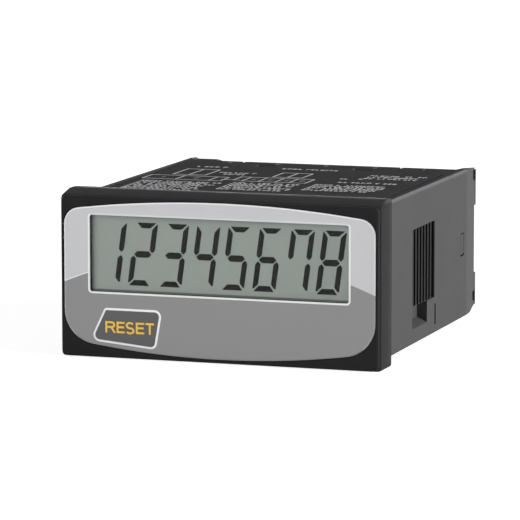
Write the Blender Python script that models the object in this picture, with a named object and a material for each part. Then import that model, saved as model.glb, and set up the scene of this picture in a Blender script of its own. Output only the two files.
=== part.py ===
# Panel counter: a 48 x 24 mm front with an eight-digit liquid crystal display and a reset key,
# a moulded case that goes through the panel, and a rear block with two rows of screw terminals.
# Metres. X runs right as the front is read, Y runs back into the panel, +Z is up.
# The whole counter hangs on one empty. Its own origin is the middle of the bezel's front face.

import math

import bmesh
import bpy
from mathutils import Vector

MM = 0.001

# Gaps between pieces
SEAT_GAP = 0.15 * MM        # between two pieces that rest on each other
FIT_GAP = 0.20 * MM         # all round a piece that is pushed into another
SLIDE_GAP = 0.25 * MM       # all round a piece that moves, or a pin in its hole
OVERCUT = 1.0 * MM          # how far a cutter runs past the face it opens

# Bezel
BEZEL_WIDTH = 48.0 * MM
BEZEL_HEIGHT = 24.0 * MM
BEZEL_DEPTH = 5.8 * MM
BEZEL_CORNER = 1.3 * MM
BEZEL_EASE_SIDE = 0.28 * MM     # how far the front edge is eased inwards at the sides and below
BEZEL_EASE_TOP = 0.73 * MM      # and along the top, where it is softer
BEZEL_EASE_DEPTH = 0.60 * MM
BEZEL_PLATE = 0.45 * MM         # front plate behind the overlay
BEZEL_RIM_OVER_CASE = 1.1 * MM  # how much of the case's end wall the rim covers
BEZEL_CAVITY_CORNER = 0.8 * MM

# Printed overlay in its recess on the front
OVERLAY_THICKNESS = 0.20 * MM
OVERLAY_SET_BACK = 0.05 * MM
OVERLAY_SIDE_MARGIN = 0.70 * MM
OVERLAY_TOP_MARGIN = 1.00 * MM
OVERLAY_BOTTOM_MARGIN = 0.62 * MM
OVERLAY_TOP_BOW = 7.4           # degrees between the bowed top edge's end and level
OVERLAY_BOTTOM_BOW = 7.9
OVERLAY_TOP_CORNER = 2.4 * MM
OVERLAY_BOTTOM_CORNER = 4.9 * MM
OVERLAY_EDGE_GAP = 0.12 * MM
KEY_DOME_HEIGHT = 0.05 * MM     # how far the key's field is embossed from the overlay

# Display window, measured from the bezel's edges
WINDOW_SIDE_MARGIN = 4.60 * MM
WINDOW_TOP_MARGIN = 3.35 * MM
WINDOW_BOTTOM_MARGIN = 9.59 * MM
WINDOW_CORNER = 0.35 * MM
PANE_THICKNESS = 0.40 * MM

# Liquid crystal display
LCD_GLASS = 0.80 * MM           # each of its two plates
LCD_LEDGE = 1.20 * MM           # contact ledge above and below the rear plate
LCD_BOTTOM_OVERLAP = 0.80 * MM  # how far the front plate runs past the window below
HOLDER_WALL = 0.50 * MM

# Reset key, its plunger and its switch
KEY_FROM_LEFT = 10.3 * MM       # centre, from the bezel's left and bottom edges
KEY_FROM_BOTTOM = 4.55 * MM
KEY_TRAVEL = 0.25 * MM
KEY_FIELD_TOP = 2.60 * MM       # the field's edges from its centre
KEY_FIELD_BOTTOM = 2.84 * MM    # at its right end, and less at its left
KEY_FIELD_RISE = 0.94 * MM
KEY_FIELD_LEFT = 3.35 * MM      # at the top, and further out below
KEY_FIELD_RIGHT = 5.13 * MM
KEY_FIELD_LEFT_SLANT = 2.15 * MM
KEY_FIELD_RIGHT_SLANT = 0.94 * MM
KEY_FIELD_CORNER = 0.80 * MM
PLUNGER_DIAMETER = 3.6 * MM
PLUNGER_BEVEL = 0.14 * MM
PLUNGER_COLLAR = 4.9 * MM       # collar behind the guide, which keeps the plunger in
PLUNGER_COLLAR_THICKNESS = 0.5 * MM
GUIDE_WALL = 0.7 * MM
GUIDE_LENGTH = 0.6 * MM         # of the guide sleeve behind the front plate
SWITCH_SIZE = 4.6 * MM
SWITCH_HEIGHT = 1.5 * MM
STEM_DIAMETER = 2.2 * MM
STEM_BORE_DEPTH = 1.1 * MM

# Boards
BOARD_THICKNESS = 1.0 * MM
DISPLAY_BOARD_FRONT = 4.55 * MM     # its front face, behind the bezel's front
BOARD_SIDE_GAP = 0.35 * MM
BOARD_POST_DIAMETER = 2.2 * MM
BOARD_POST_X = (2.0 * MM, 16.0 * MM)
ARM_THICKNESS = 1.0 * MM            # snap arms that hold the case to the bezel
ARM_HEIGHT = 3.4 * MM
ARM_REACH = 7.0 * MM                # how far an arm runs behind the panel seat
ARM_BARB = 0.50 * MM
ARM_FROM_BOTTOM = 2.9 * MM          # lower edge of an arm above the bezel's bottom
MAIN_BOARD_ABOVE_FLOOR = 3.2 * MM   # its underside above the case's floor
TERMINAL_BOARD_GAP = 0.7 * MM       # from the terminal block's front to the board before it

# Case
CASE_SIDE_STEP = 1.5 * MM       # bezel's side beyond the case's side
CASE_TOP_STEP = 0.9 * MM        # bezel's top edge above the case's top face
CASE_BOTTOM_STEP = 0.6 * MM     # case's underside above the bezel's bottom edge
CASE_WALL = 1.4 * MM
CASE_CORNER = 0.6 * MM
CASE_INNER_CORNER = 0.4 * MM
CASE_TOP_LENGTH = 43.25 * MM    # top and bottom walls, from the panel seat back
EAR_LENGTH = 5.6 * MM           # side walls run on past them by this much
EAR_END_WALL = 0.75 * MM        # thickness of a side wall at its rear end
EAR_TAPER_LENGTH = 2.6 * MM     # over which it thins down to that
EAR_TOP_START = 2.4 * MM        # from the end of the top wall to where the ear's edge drops
EAR_TOP_DROP = 0.6 * MM
EAR_BOTTOM_START = 0.7 * MM
EAR_BOTTOM_DROP = 1.1 * MM
RAIL_GROOVE_WIDTH = 0.4 * MM    # bracket guide grooves along the top and bottom
RAIL_GROOVE_DEPTH = 0.4 * MM
RAIL_GROOVE_INSET = 1.54 * MM
RAIL_GROOVE_STOP = 6.9 * MM     # from the groove's end to the rear edge

# Ratchet window and latch pocket on each side, for the mounting bracket
RATCHET_START = 15.3 * MM       # from the case's front end
RATCHET_PITCH = 1.54 * MM
RATCHET_RIBS = 7
RATCHET_SLOT = 0.82 * MM
RATCHET_TOP = 5.6 * MM          # above and below the case's middle
RATCHET_BOTTOM = 5.85 * MM
RATCHET_RIB_SET_BACK = 0.25 * MM
RATCHET_RIB_SLOPE = 0.30 * MM   # how much further back a rib's rear edge lies
POCKET_DEPTH = 1.5 * MM
POCKET_FLOOR_WALL = 0.8 * MM
POCKET_LENGTH = 7.7 * MM
POCKET_BOTTOM = 8.25 * MM       # inner edge of the pocket's sill, below the case's middle
POCKET_SILL_DROP = 0.75 * MM
PAD_MARGIN = 1.2 * MM           # inner pad round the ratchet and the pocket
LATCH_SLIT_WIDTH = 0.60 * MM
LATCH_SLIT_LENGTH = 3.1 * MM
LATCH_SLIT_TOP = 6.85 * MM      # below the case's middle

# Snap windows for the rear block
SIDE_SNAP_LENGTH = 1.8 * MM
SIDE_SNAP_HEIGHT = 3.5 * MM
SIDE_SNAP_FROM_END = 0.2 * MM   # from the top wall's rear edge
TONGUE_HALF_WIDTH = 12.6 * MM   # sprung tongue in the top and bottom walls
TONGUE_SLIT_WIDTH = 0.45 * MM
TONGUE_LENGTH = 5.6 * MM
LATCH_WINDOW_WIDTH = 3.1 * MM
LATCH_WINDOW_LENGTH = 2.4 * MM
LATCH_WINDOW_CENTRE = 7.7 * MM  # from the middle, at each side
LATCH_WINDOW_FROM_END = 3.0 * MM

# Rear block and terminals
TERMINALS_PER_ROW = 5
BLOCK_INSERTION = 4.6 * MM      # how far the block runs in under the top wall
BLOCK_FLOOR_BELOW_EDGE = 0.5 * MM   # contact seat, in front of the top wall's rear edge
BLOCK_CORNER_WIDTH = 3.3 * MM   # solid post at the left end
BLOCK_END_BARRIER = 1.0 * MM
BARRIER = 1.2 * MM
BARRIER_DROP = 1.0 * MM         # top of the barriers below the case's top face
FLANGE_THICKNESS = 0.70 * MM
FLANGE_INNER = 5.2 * MM         # the flange covers the ears' ends beyond this height
FLANGE_NOTCH_HEIGHT = 1.4 * MM
FLANGE_NOTCH_DEPTH = 0.5 * MM
FLANGE_NOTCH_FROM_EDGE = 0.45 * MM
POST_TOP_LENGTH = 0.6 * MM
POST_SET_BACK = 1.3 * MM        # front of the corner post's upper part behind the top wall's edge
SCREW_HEAD_DIAMETER = 4.8 * MM
SCREW_HEAD_HEIGHT = 1.6 * MM
SCREW_SHANK_DIAMETER = 2.8 * MM
SCREW_LENGTH = 5.0 * MM
SCREW_SLOT_WIDTH = 0.7 * MM
SCREW_SLOT_LENGTH = 2.8 * MM
SCREW_SLOT_DEPTH = 0.8 * MM
CLAMP_THICKNESS = 0.7 * MM
CLAMP_LIP = 0.3 * MM            # turned-down edges that hold a wire
CLAMP_LIP_WIDTH = 0.5 * MM
CLAMP_SIDE_GAP = 0.4 * MM
CONTACT_THICKNESS = 0.8 * MM
CONTACT_HALF_HEIGHT = 2.1 * MM
CONTACT_SIDE_GAP = 0.3 * MM
CONTACT_TAIL_WIDTH = 1.0 * MM
CONTACT_TAIL_OFFSET = 2.1 * MM
CONTACT_TAIL_PAST_BOARD = 0.6 * MM
BORE_PAST_SCREW = 0.4 * MM

# Parts on the boards
CELL_TOP_GAP = 0.95 * MM        # under the case's top wall
CELL_FROM_BOARD_SIDE = 10.55 * MM   # its axis, from the main board's right edge
CELL_FROM_BOARD_FRONT = 6.05 * MM   # its ends, from the main board's ends
CELL_FROM_BOARD_BACK = 3.95 * MM
CELL_BUTTON_DIAMETER = 5.0 * MM
CELL_BUTTON_HEIGHT = 0.8 * MM
TAB_THICKNESS = 0.3 * MM
TAB_WIDTH = 4.0 * MM
TAB_FOOT = 2.4 * MM
CHIP_SIZE = 9.0 * MM
CHIP_HEIGHT = 1.2 * MM
CHIP_LEADS_PER_SIDE = 8
CHIP_LEAD_PITCH = 0.9 * MM
CHIP_LEAD_WIDTH = 0.4 * MM
CHIP_LEAD_REACH = 1.0 * MM
CHIP_LEAD_THICKNESS = 0.2 * MM
HEADER_PINS = 8
HEADER_PITCH = 2.0 * MM
HEADER_BODY = 2.2 * MM
HEADER_PIN = 0.6 * MM
ISOLATOR_LENGTH = 9.6 * MM
ISOLATOR_WIDTH = 6.4 * MM
ISOLATOR_HEIGHT = 3.3 * MM
ISOLATOR_LEGS_PER_SIDE = 4
CAPACITOR_DIAMETER = 5.0 * MM
CAPACITOR_HEIGHT = 9.0 * MM
CRYSTAL_LENGTH = 10.2 * MM
CRYSTAL_WIDTH = 4.4 * MM
CRYSTAL_HEIGHT = 3.4 * MM
CRYSTAL_BRIM = 0.5 * MM
CHIP_FROM_SIDE = 13.05 * MM     # its middle, from the display board's right and top edges
CHIP_FROM_TOP = 7.15 * MM
HEADER_FROM_SIDE = 13.5 * MM    # middles on the main board, from its left edge and its ends
ISOLATOR_FROM_SIDE = 8.5 * MM
ISOLATOR_FROM_BACK = 9.7 * MM
CRYSTAL_FROM_SIDE = 8.5 * MM
CRYSTAL_FROM_FRONT = 6.3 * MM
CAPACITOR_FROM_CELL = 1.6 * MM  # its wall, from the cell's
CAPACITOR_FROM_FRONT = 14.2 * MM
RAIL_THICKNESS = 0.8 * MM
RAIL_GRIP = 0.9 * MM            # how far a rail reaches over the board's edge

# Worked out from the sizes above
half_width = BEZEL_WIDTH / 2
half_height = BEZEL_HEIGHT / 2
case_half_width = half_width - CASE_SIDE_STEP
case_top = half_height - CASE_TOP_STEP
case_bottom = -half_height + CASE_BOTTOM_STEP
case_middle = (case_top + case_bottom) / 2
case_inner_half = case_half_width - CASE_WALL
case_inner_top = case_top - CASE_WALL
case_inner_bottom = case_bottom + CASE_WALL
case_front = BEZEL_DEPTH + SEAT_GAP
top_edge = case_front + CASE_TOP_LENGTH
ear_end = top_edge + EAR_LENGTH

overlay_front = OVERLAY_SET_BACK
overlay_back = overlay_front + OVERLAY_THICKNESS
plate_front = overlay_back + SEAT_GAP
plate_back = plate_front + BEZEL_PLATE
cavity_half_width = case_half_width - BEZEL_RIM_OVER_CASE
cavity_top = case_top - BEZEL_RIM_OVER_CASE
cavity_bottom = case_bottom + BEZEL_RIM_OVER_CASE

window_half_width = half_width - WINDOW_SIDE_MARGIN
window_top = half_height - WINDOW_TOP_MARGIN
window_bottom = -half_height + WINDOW_BOTTOM_MARGIN

lcd_front = plate_back + SEAT_GAP
lcd_middle = lcd_front + LCD_GLASS
lcd_back = lcd_middle + LCD_GLASS
holder_half_width = cavity_half_width - FIT_GAP
holder_top = cavity_top - FIT_GAP
lcd_half_width = holder_half_width - HOLDER_WALL - SEAT_GAP
lcd_top = holder_top - HOLDER_WALL - SEAT_GAP
lcd_bottom = window_bottom - LCD_BOTTOM_OVERLAP
holder_bottom = lcd_bottom - SEAT_GAP - HOLDER_WALL

display_board_back = DISPLAY_BOARD_FRONT + BOARD_THICKNESS
key_x = -half_width + KEY_FROM_LEFT
key_z = -half_height + KEY_FROM_BOTTOM
switch_back = DISPLAY_BOARD_FRONT - SEAT_GAP
switch_front = switch_back - SWITCH_HEIGHT
stem_front = switch_front - KEY_TRAVEL - SLIDE_GAP
plunger_back = stem_front - SEAT_GAP
arm_bottom = -half_height + ARM_FROM_BOTTOM
arm_outer = case_inner_half - FIT_GAP
arm_inner = arm_outer - ARM_THICKNESS
arm_end = BEZEL_DEPTH + ARM_REACH

pocket_back_x = case_half_width - POCKET_DEPTH
pad_x = pocket_back_x - POCKET_FLOOR_WALL
ratchet_front = case_front + RATCHET_START
ratchet_end = ratchet_front + RATCHET_RIBS * RATCHET_PITCH + RATCHET_SLOT

block_front = top_edge - BLOCK_INSERTION
block_floor = top_edge - BLOCK_FLOOR_BELOW_EDGE
block_half_width = case_inner_half - FIT_GAP
flange_front = ear_end + SEAT_GAP
flange_back = flange_front + FLANGE_THICKNESS
barrier_top = case_top - BARRIER_DROP
barrier_bottom = 2 * case_middle - barrier_top
row_left = -block_half_width + BLOCK_CORNER_WIDTH
row_right = block_half_width - BLOCK_END_BARRIER
channel_width = (row_right - row_left - (TERMINALS_PER_ROW - 1) * BARRIER) / TERMINALS_PER_ROW
row_height = case_inner_top - 2 * FIT_GAP - CONTACT_HALF_HEIGHT - case_middle   # from the middle
channel_floor = row_height - SCREW_HEAD_DIAMETER / 2 - FIT_GAP
contact_front = block_floor + SEAT_GAP
contact_back = contact_front + CONTACT_THICKNESS
clamp_front = contact_back + CLAMP_LIP + SEAT_GAP
clamp_back = clamp_front + CLAMP_THICKNESS
head_front = clamp_back + SEAT_GAP
terminal_x = [row_left + channel_width / 2 + i * (channel_width + BARRIER)
              for i in range(TERMINALS_PER_ROW)]
rows = [(case_middle + row_height, 0.0), (case_middle - row_height, math.pi)]   # height and turn

terminal_board_back = block_front - TERMINAL_BOARD_GAP
terminal_board_front = terminal_board_back - BOARD_THICKNESS
main_board_bottom = case_inner_bottom + MAIN_BOARD_ABOVE_FLOOR
main_board_top = main_board_bottom + BOARD_THICKNESS
main_board_front = display_board_back + HEADER_BODY
main_board_back = terminal_board_front - SEAT_GAP
main_board_half = min(pad_x, arm_inner) - BOARD_SIDE_GAP
cell_radius = (case_inner_top - CELL_TOP_GAP - main_board_top - SEAT_GAP) / 2
cell_x = main_board_half - CELL_FROM_BOARD_SIDE
cell_z = main_board_top + SEAT_GAP + cell_radius
cell_front = main_board_front + CELL_FROM_BOARD_FRONT
cell_back = main_board_back - CELL_FROM_BOARD_BACK


def linear(level):
    # One channel of a screen colour, 0 to 255, as Blender's linear value
    value = level / 255
    return value / 12.92 if value <= 0.04045 else ((value + 0.055) / 1.055) ** 2.4


def finish(name, colour, roughness, metallic=0.0):
    material = bpy.data.materials.new(name)
    material.use_nodes = True
    shader = material.node_tree.nodes["Principled BSDF"]
    shader.inputs["Base Color"].default_value = [linear(c) for c in colour] + [1.0]
    shader.inputs["Roughness"].default_value = roughness
    shader.inputs["Metallic"].default_value = metallic
    return material


def fillet(corners, steps=5):
    # An outline from corner points (u, v, radius), each corner turned into an arc.
    # Where two arcs want more than the side between them, both are made smaller.
    count = len(corners)
    here = [Vector(corner[:2]) for corner in corners]
    before = [here[i - 1] - here[i] for i in range(count)]
    after = [here[(i + 1) % count] - here[i] for i in range(count)]
    half_angle = [before[i].angle(after[i]) / 2 for i in range(count)]
    reach = [corners[i][2] / math.tan(half_angle[i]) for i in range(count)]
    points = []
    for i in range(count):
        wanted = max((reach[i] + reach[i - 1]) / before[i].length,
                     (reach[i] + reach[(i + 1) % count]) / after[i].length, 1.0)
        run = reach[i] / wanted
        if run <= 0:
            points.append(here[i])
            continue
        bisector = (before[i].normalized() + after[i].normalized()).normalized()
        centre = here[i] + bisector * (run / math.cos(half_angle[i]))
        start = here[i] + before[i].normalized() * run - centre
        end = here[i] + after[i].normalized() * run - centre
        sweep = start.angle_signed(end)
        for k in range(steps + 1):
            turn = -sweep * k / steps
            points.append(centre + Vector((start.x * math.cos(turn) - start.y * math.sin(turn),
                                           start.x * math.sin(turn) + start.y * math.cos(turn))))
    return points


def rounded_rectangle(left, right, bottom, top, radius, steps=4):
    return fillet([(left, bottom, radius), (right, bottom, radius),
                   (right, top, radius), (left, top, radius)], steps)


def bowed_outline(grow=0.0):
    # Overlay outline: straight sides, crowned top and bottom edges, larger lower corners.
    side = half_width - OVERLAY_SIDE_MARGIN
    top = half_height - OVERLAY_TOP_MARGIN
    bottom = -half_height + OVERLAY_BOTTOM_MARGIN
    top_bow = math.radians(OVERLAY_TOP_BOW)
    bottom_bow = math.radians(OVERLAY_BOTTOM_BOW)
    top_run = side - OVERLAY_TOP_CORNER
    bottom_run = side - OVERLAY_BOTTOM_CORNER
    top_peak = top + top_run * math.tan(top_bow / 2) + grow
    bottom_peak = bottom - bottom_run * math.tan(bottom_bow / 2) - grow
    side += grow
    top_corner = top_peak - side * math.tan(top_bow)
    bottom_corner = bottom_peak + side * math.tan(bottom_bow)
    lower = OVERLAY_BOTTOM_CORNER + grow
    upper = OVERLAY_TOP_CORNER + grow
    return fillet([(-side, bottom_corner, lower), (0, bottom_peak, bottom_run / math.tan(bottom_bow)),
                   (side, bottom_corner, lower), (side, top_corner, upper),
                   (0, top_peak, top_run / math.tan(top_bow)), (-side, top_corner, upper)], 8)


def circle(radius, segments, centre=(0.0, 0.0)):
    return [Vector((centre[0] + radius * math.cos(2 * math.pi * k / segments),
                    centre[1] + radius * math.sin(2 * math.pi * k / segments)))
            for k in range(segments)]


def loft(loops, closed=False):
    # Solid through loops of as many points each. Closed loops make a ring, open ones get end caps.
    bm = bmesh.new()
    rows = [[bm.verts.new(point) for point in loop] for loop in loops]
    pairs = list(zip(rows, rows[1:]))
    if closed:
        pairs.append((rows[-1], rows[0]))
    else:
        bm.faces.new(rows[0])
        bm.faces.new(rows[-1])
    for near, far in pairs:
        for i in range(len(near)):
            j = (i + 1) % len(near)
            bm.faces.new((near[i], near[j], far[j], far[i]))
    bmesh.ops.recalc_face_normals(bm, faces=bm.faces)
    return bm


def prism(outline, front, back):
    # An X-Z outline run back along Y
    return loft([[(u, y, v) for u, v in outline] for y in (front, back)])


def prism_up(outline, bottom, top):
    # An X-Y outline run up along Z
    return loft([[(u, v, z) for u, v in outline] for z in (bottom, top)])


def prism_across(outline, left, right):
    # A Y-Z outline run across along X
    return loft([[(x, u, v) for u, v in outline] for x in (left, right)])


def frame_prism(outer, inner, front, back):
    # A ring between two X-Z outlines of as many points each
    return loft([[(u, front, v) for u, v in outer], [(u, front, v) for u, v in inner],
                 [(u, back, v) for u, v in inner], [(u, back, v) for u, v in outer]], closed=True)


def turned(profile, segments):
    # A solid turned round the Y axis from (y, radius) points; its two ends are flat.
    return loft([[(u, y, v) for u, v in circle(radius, segments)] for y, radius in profile])


def block(x, y, z):
    # A box between two values on each axis
    return prism([Vector((x[0], z[0])), Vector((x[1], z[0])), Vector((x[1], z[1])),
                  Vector((x[0], z[1]))], y[0], y[1])


def mirrored_x(bm):
    copy = bm.copy()
    bmesh.ops.scale(copy, vec=(-1, 1, 1), verts=copy.verts)
    bmesh.ops.reverse_faces(copy, faces=copy.faces)
    return copy


def moved(bm, offset):
    bmesh.ops.translate(bm, vec=offset, verts=bm.verts)
    return bm


def object_from(name, solids, material=None, location=(0, 0, 0)):
    # One object whose mesh holds the given solids, hung on the counter's empty
    mesh = bpy.data.meshes.new(name)
    gathered = bmesh.new()
    for solid in solids:
        piece = bpy.data.meshes.new("piece")
        solid.to_mesh(piece)
        gathered.from_mesh(piece)
        bpy.data.meshes.remove(piece)
        solid.free()
    gathered.to_mesh(mesh)
    gathered.free()
    if material:
        mesh.materials.append(material)
    return place(name, mesh, location)


def place(name, mesh, location=(0, 0, 0), turn=0.0):
    obj = bpy.data.objects.new(name, mesh)
    bpy.context.scene.collection.objects.link(obj)
    obj.parent = counter
    obj.location = location
    obj.rotation_euler = (0, turn, 0)
    return obj


def boolean(target, name, solids, operation):
    # The tool object carries the target's location, so its solids are in the target's own axes.
    tool = object_from(name, solids, location=target.location)
    tool.hide_render = True
    tool.display_type = "WIRE"
    modifier = target.modifiers.new(name, "BOOLEAN")
    modifier.object = tool
    modifier.operation = operation
    modifier.solver = "EXACT"


def cut(target, name, solids):
    boolean(target, name, solids, "DIFFERENCE")


def join(target, name, solids):
    boolean(target, name, solids, "UNION")


def smooth(obj, angle=35):
    obj.data.shade_smooth()
    obj.data.set_sharp_from_angle(angle=math.radians(angle))


def finished_mesh(obj, name):
    # The mesh with its modifiers applied, to be shared by the copies of a repeated piece
    bpy.context.view_layer.update()
    evaluated = obj.evaluated_get(bpy.context.evaluated_depsgraph_get())
    mesh = bpy.data.meshes.new_from_object(evaluated)
    mesh.name = name
    for modifier in list(obj.modifiers):
        bpy.data.objects.remove(modifier.object)
    bpy.data.objects.remove(obj)
    return mesh


def make_bezel():
    rear = rounded_rectangle(-half_width, half_width, -half_height, half_height, BEZEL_CORNER)
    loops = [[(u, BEZEL_DEPTH, v) for u, v in rear]]
    ease_steps = 4
    for k in range(ease_steps + 1):
        angle = math.pi / 2 * k / ease_steps
        inset = 1 - math.cos(angle)
        y = BEZEL_EASE_DEPTH * (1 - math.sin(angle))
        side = half_width - BEZEL_EASE_SIDE * inset
        loops.append([(u, y, v) for u, v in rounded_rectangle(
            -side, side, -half_height + BEZEL_EASE_SIDE * inset, half_height - BEZEL_EASE_TOP * inset,
            BEZEL_CORNER)])
    bezel = object_from("front_bezel", [loft(loops)], finish("bezel_plastic", (40, 40, 41), 0.45))

    cut(bezel, "overlay_recess", [prism(bowed_outline(OVERLAY_EDGE_GAP), -OVERCUT, plate_front)])
    cut(bezel, "bezel_cavity", [prism(rounded_rectangle(
        -cavity_half_width, cavity_half_width, cavity_bottom, cavity_top, BEZEL_CAVITY_CORNER),
        plate_back, BEZEL_DEPTH + OVERCUT)])
    window = rounded_rectangle(-window_half_width, window_half_width, window_bottom, window_top,
                               WINDOW_CORNER)
    cut(bezel, "window_opening", [prism(window, 0, BEZEL_DEPTH)])

    # Behind the plate: the plunger's guide, two posts for the display board, two snap arms
    bore = PLUNGER_DIAMETER / 2 + SLIDE_GAP
    guide = moved(turned([(plate_back - BEZEL_PLATE / 2, bore + GUIDE_WALL),
                          (plate_back + GUIDE_LENGTH, bore + GUIDE_WALL)], 24), (key_x, 0, key_z))
    posts = [moved(turned([(plate_back - BEZEL_PLATE / 2, BOARD_POST_DIAMETER / 2),
                           (DISPLAY_BOARD_FRONT - SEAT_GAP, BOARD_POST_DIAMETER / 2)], 16),
                   (x, 0, cavity_bottom + BOARD_POST_DIAMETER)) for x in BOARD_POST_X]
    join(bezel, "guide_and_posts", [guide] + posts)
    cut(bezel, "plunger_bore", [moved(turned([(0, bore), (BEZEL_DEPTH, bore)], 24), (key_x, 0, key_z))])

    profile = [(plate_back - BEZEL_PLATE / 2, arm_inner), (arm_end, arm_inner),
               (arm_end, arm_outer - ARM_THICKNESS / 3), (arm_end - 2 * ARM_BARB, arm_outer + ARM_BARB),
               (arm_end - 3 * ARM_BARB, arm_outer + ARM_BARB), (arm_end - 3 * ARM_BARB, arm_outer),
               (DISPLAY_BOARD_FRONT, arm_outer), (DISPLAY_BOARD_FRONT, cavity_half_width + ARM_THICKNESS / 2),
               (plate_back - BEZEL_PLATE / 2, cavity_half_width + ARM_THICKNESS / 2)]
    arm = prism_up([(x, y) for y, x in profile], arm_bottom, arm_bottom + ARM_HEIGHT)
    join(bezel, "snap_arms", [mirrored_x(arm), arm])
    smooth(bezel)


def make_overlay():
    # One printed sheet. The key's field is embossed from it, and the display shows through its hole.
    overlay = object_from("front_overlay", [prism(bowed_outline(), overlay_front, overlay_back)],
                          finish("printed_film", (168, 168, 170), 0.35))
    cut(overlay, "overlay_window", [prism(rounded_rectangle(
        -window_half_width, window_half_width, window_bottom, window_top, WINDOW_CORNER),
        -OVERCUT, BEZEL_DEPTH)])
    left = key_x - KEY_FIELD_LEFT
    right = key_x + KEY_FIELD_RIGHT
    top = key_z + KEY_FIELD_TOP
    bottom = key_z - KEY_FIELD_BOTTOM
    field = fillet([(left - KEY_FIELD_LEFT_SLANT, bottom + KEY_FIELD_RISE, KEY_FIELD_CORNER),
                    (right - KEY_FIELD_RIGHT_SLANT, bottom, KEY_FIELD_CORNER),
                    (right, top, KEY_FIELD_CORNER), (left, top, KEY_FIELD_CORNER)], 4)
    join(overlay, "key_field", [prism(field, overlay_front - KEY_DOME_HEIGHT,
                                      overlay_front + OVERLAY_THICKNESS / 2)])
    smooth(overlay)


def make_display():
    pane = rounded_rectangle(-window_half_width + SEAT_GAP, window_half_width - SEAT_GAP,
                             window_bottom + SEAT_GAP, window_top - SEAT_GAP, WINDOW_CORNER)
    smooth(object_from("display_window", [prism(pane, plate_front, plate_front + PANE_THICKNESS)],
                       finish("clear_pane", (235, 240, 238), 0.08)))

    # Two glass plates. The front one carries the contacts on its ledges above and below the rear one.
    section = [(lcd_front, lcd_bottom), (lcd_middle, lcd_bottom), (lcd_middle, lcd_bottom + LCD_LEDGE),
               (lcd_back, lcd_bottom + LCD_LEDGE), (lcd_back, lcd_top - LCD_LEDGE),
               (lcd_middle, lcd_top - LCD_LEDGE), (lcd_middle, lcd_top), (lcd_front, lcd_top)]
    object_from("lcd_panel", [prism_across(section, -lcd_half_width, lcd_half_width)],
                finish("lcd_glass", (146, 155, 148), 0.30))

    strip_length = lcd_half_width - LCD_LEDGE
    for name, low in (("contact_strip_top", lcd_top - LCD_LEDGE + FIT_GAP),
                      ("contact_strip_bottom", lcd_bottom)):
        object_from(name, [block((-strip_length, strip_length),
                                 (lcd_middle + SEAT_GAP, DISPLAY_BOARD_FRONT - SEAT_GAP),
                                 (low, low + LCD_LEDGE - FIT_GAP))],
                    finish(name + "_rubber", (196, 120, 134), 0.70))

    outer = rounded_rectangle(-holder_half_width, holder_half_width, holder_bottom, holder_top,
                              BEZEL_CAVITY_CORNER)
    inner = rounded_rectangle(-lcd_half_width - SEAT_GAP, lcd_half_width + SEAT_GAP,
                              lcd_bottom - SEAT_GAP, lcd_top + SEAT_GAP, WINDOW_CORNER)
    smooth(object_from("lcd_holder", [frame_prism(outer, inner, plate_back + SEAT_GAP,
                                                  DISPLAY_BOARD_FRONT - SEAT_GAP)],
                       finish("holder_plastic", (225, 225, 220), 0.50)))


def make_display_board():
    side = cavity_half_width - BOARD_SIDE_GAP
    notch = arm_inner - BOARD_SIDE_GAP
    low = cavity_bottom + BOARD_SIDE_GAP
    high = cavity_top - BOARD_SIDE_GAP
    notch_top = arm_bottom + ARM_HEIGHT + BOARD_SIDE_GAP
    right = [(notch, low), (notch, notch_top), (side, notch_top), (side, high)]
    outline = right + [(-u, v) for u, v in reversed(right)]
    object_from("display_board", [prism([Vector(point) for point in outline], DISPLAY_BOARD_FRONT,
                                        display_board_back)], finish("display_laminate", (36, 92, 58), 0.45))


def make_reset_key():
    # The plunger and the stem move together, so both have their origins on the key's axis.
    plunger_front = overlay_back + SEAT_GAP
    collar_front = plunger_back - PLUNGER_COLLAR_THICKNESS
    axis = (key_x, 0, key_z)
    shaft = PLUNGER_DIAMETER / 2
    plunger = object_from("reset_plunger", [turned(
        [(plunger_front, shaft - PLUNGER_BEVEL), (plunger_front + PLUNGER_BEVEL, shaft),
         (collar_front, shaft), (collar_front, PLUNGER_COLLAR / 2), (plunger_back, PLUNGER_COLLAR / 2)], 28)],
        finish("plunger_plastic", (210, 210, 205), 0.45), axis)
    smooth(plunger)
    stem_back = switch_front + STEM_BORE_DEPTH - KEY_TRAVEL - SLIDE_GAP
    stem = object_from("switch_stem", [turned(
        [(stem_front, STEM_DIAMETER / 2), (stem_back, STEM_DIAMETER / 2)], 20)],
        finish("stem_plastic", (120, 40, 36), 0.45), axis)
    smooth(stem)

    half = SWITCH_SIZE / 2
    switch = object_from("reset_switch", [prism(rounded_rectangle(-half, half, -half, half, half / 6),
                                                switch_front, switch_back)],
                         finish("switch_plastic", (48, 48, 50), 0.40), axis)
    foot = half / 4
    feet = [block((side * half - foot, side * half + foot), (switch_back - foot / 2, switch_back),
                  (level - foot / 2, level + foot / 2))
            for side in (-1, 1) for level in (-half / 2, half / 2)]
    join(switch, "switch_feet", feet)
    bore = STEM_DIAMETER / 2 + SLIDE_GAP
    cut(switch, "stem_bore", [turned([(switch_front - OVERCUT, bore),
                                      (switch_front + STEM_BORE_DEPTH, bore)], 20)])
    smooth(switch)


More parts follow.
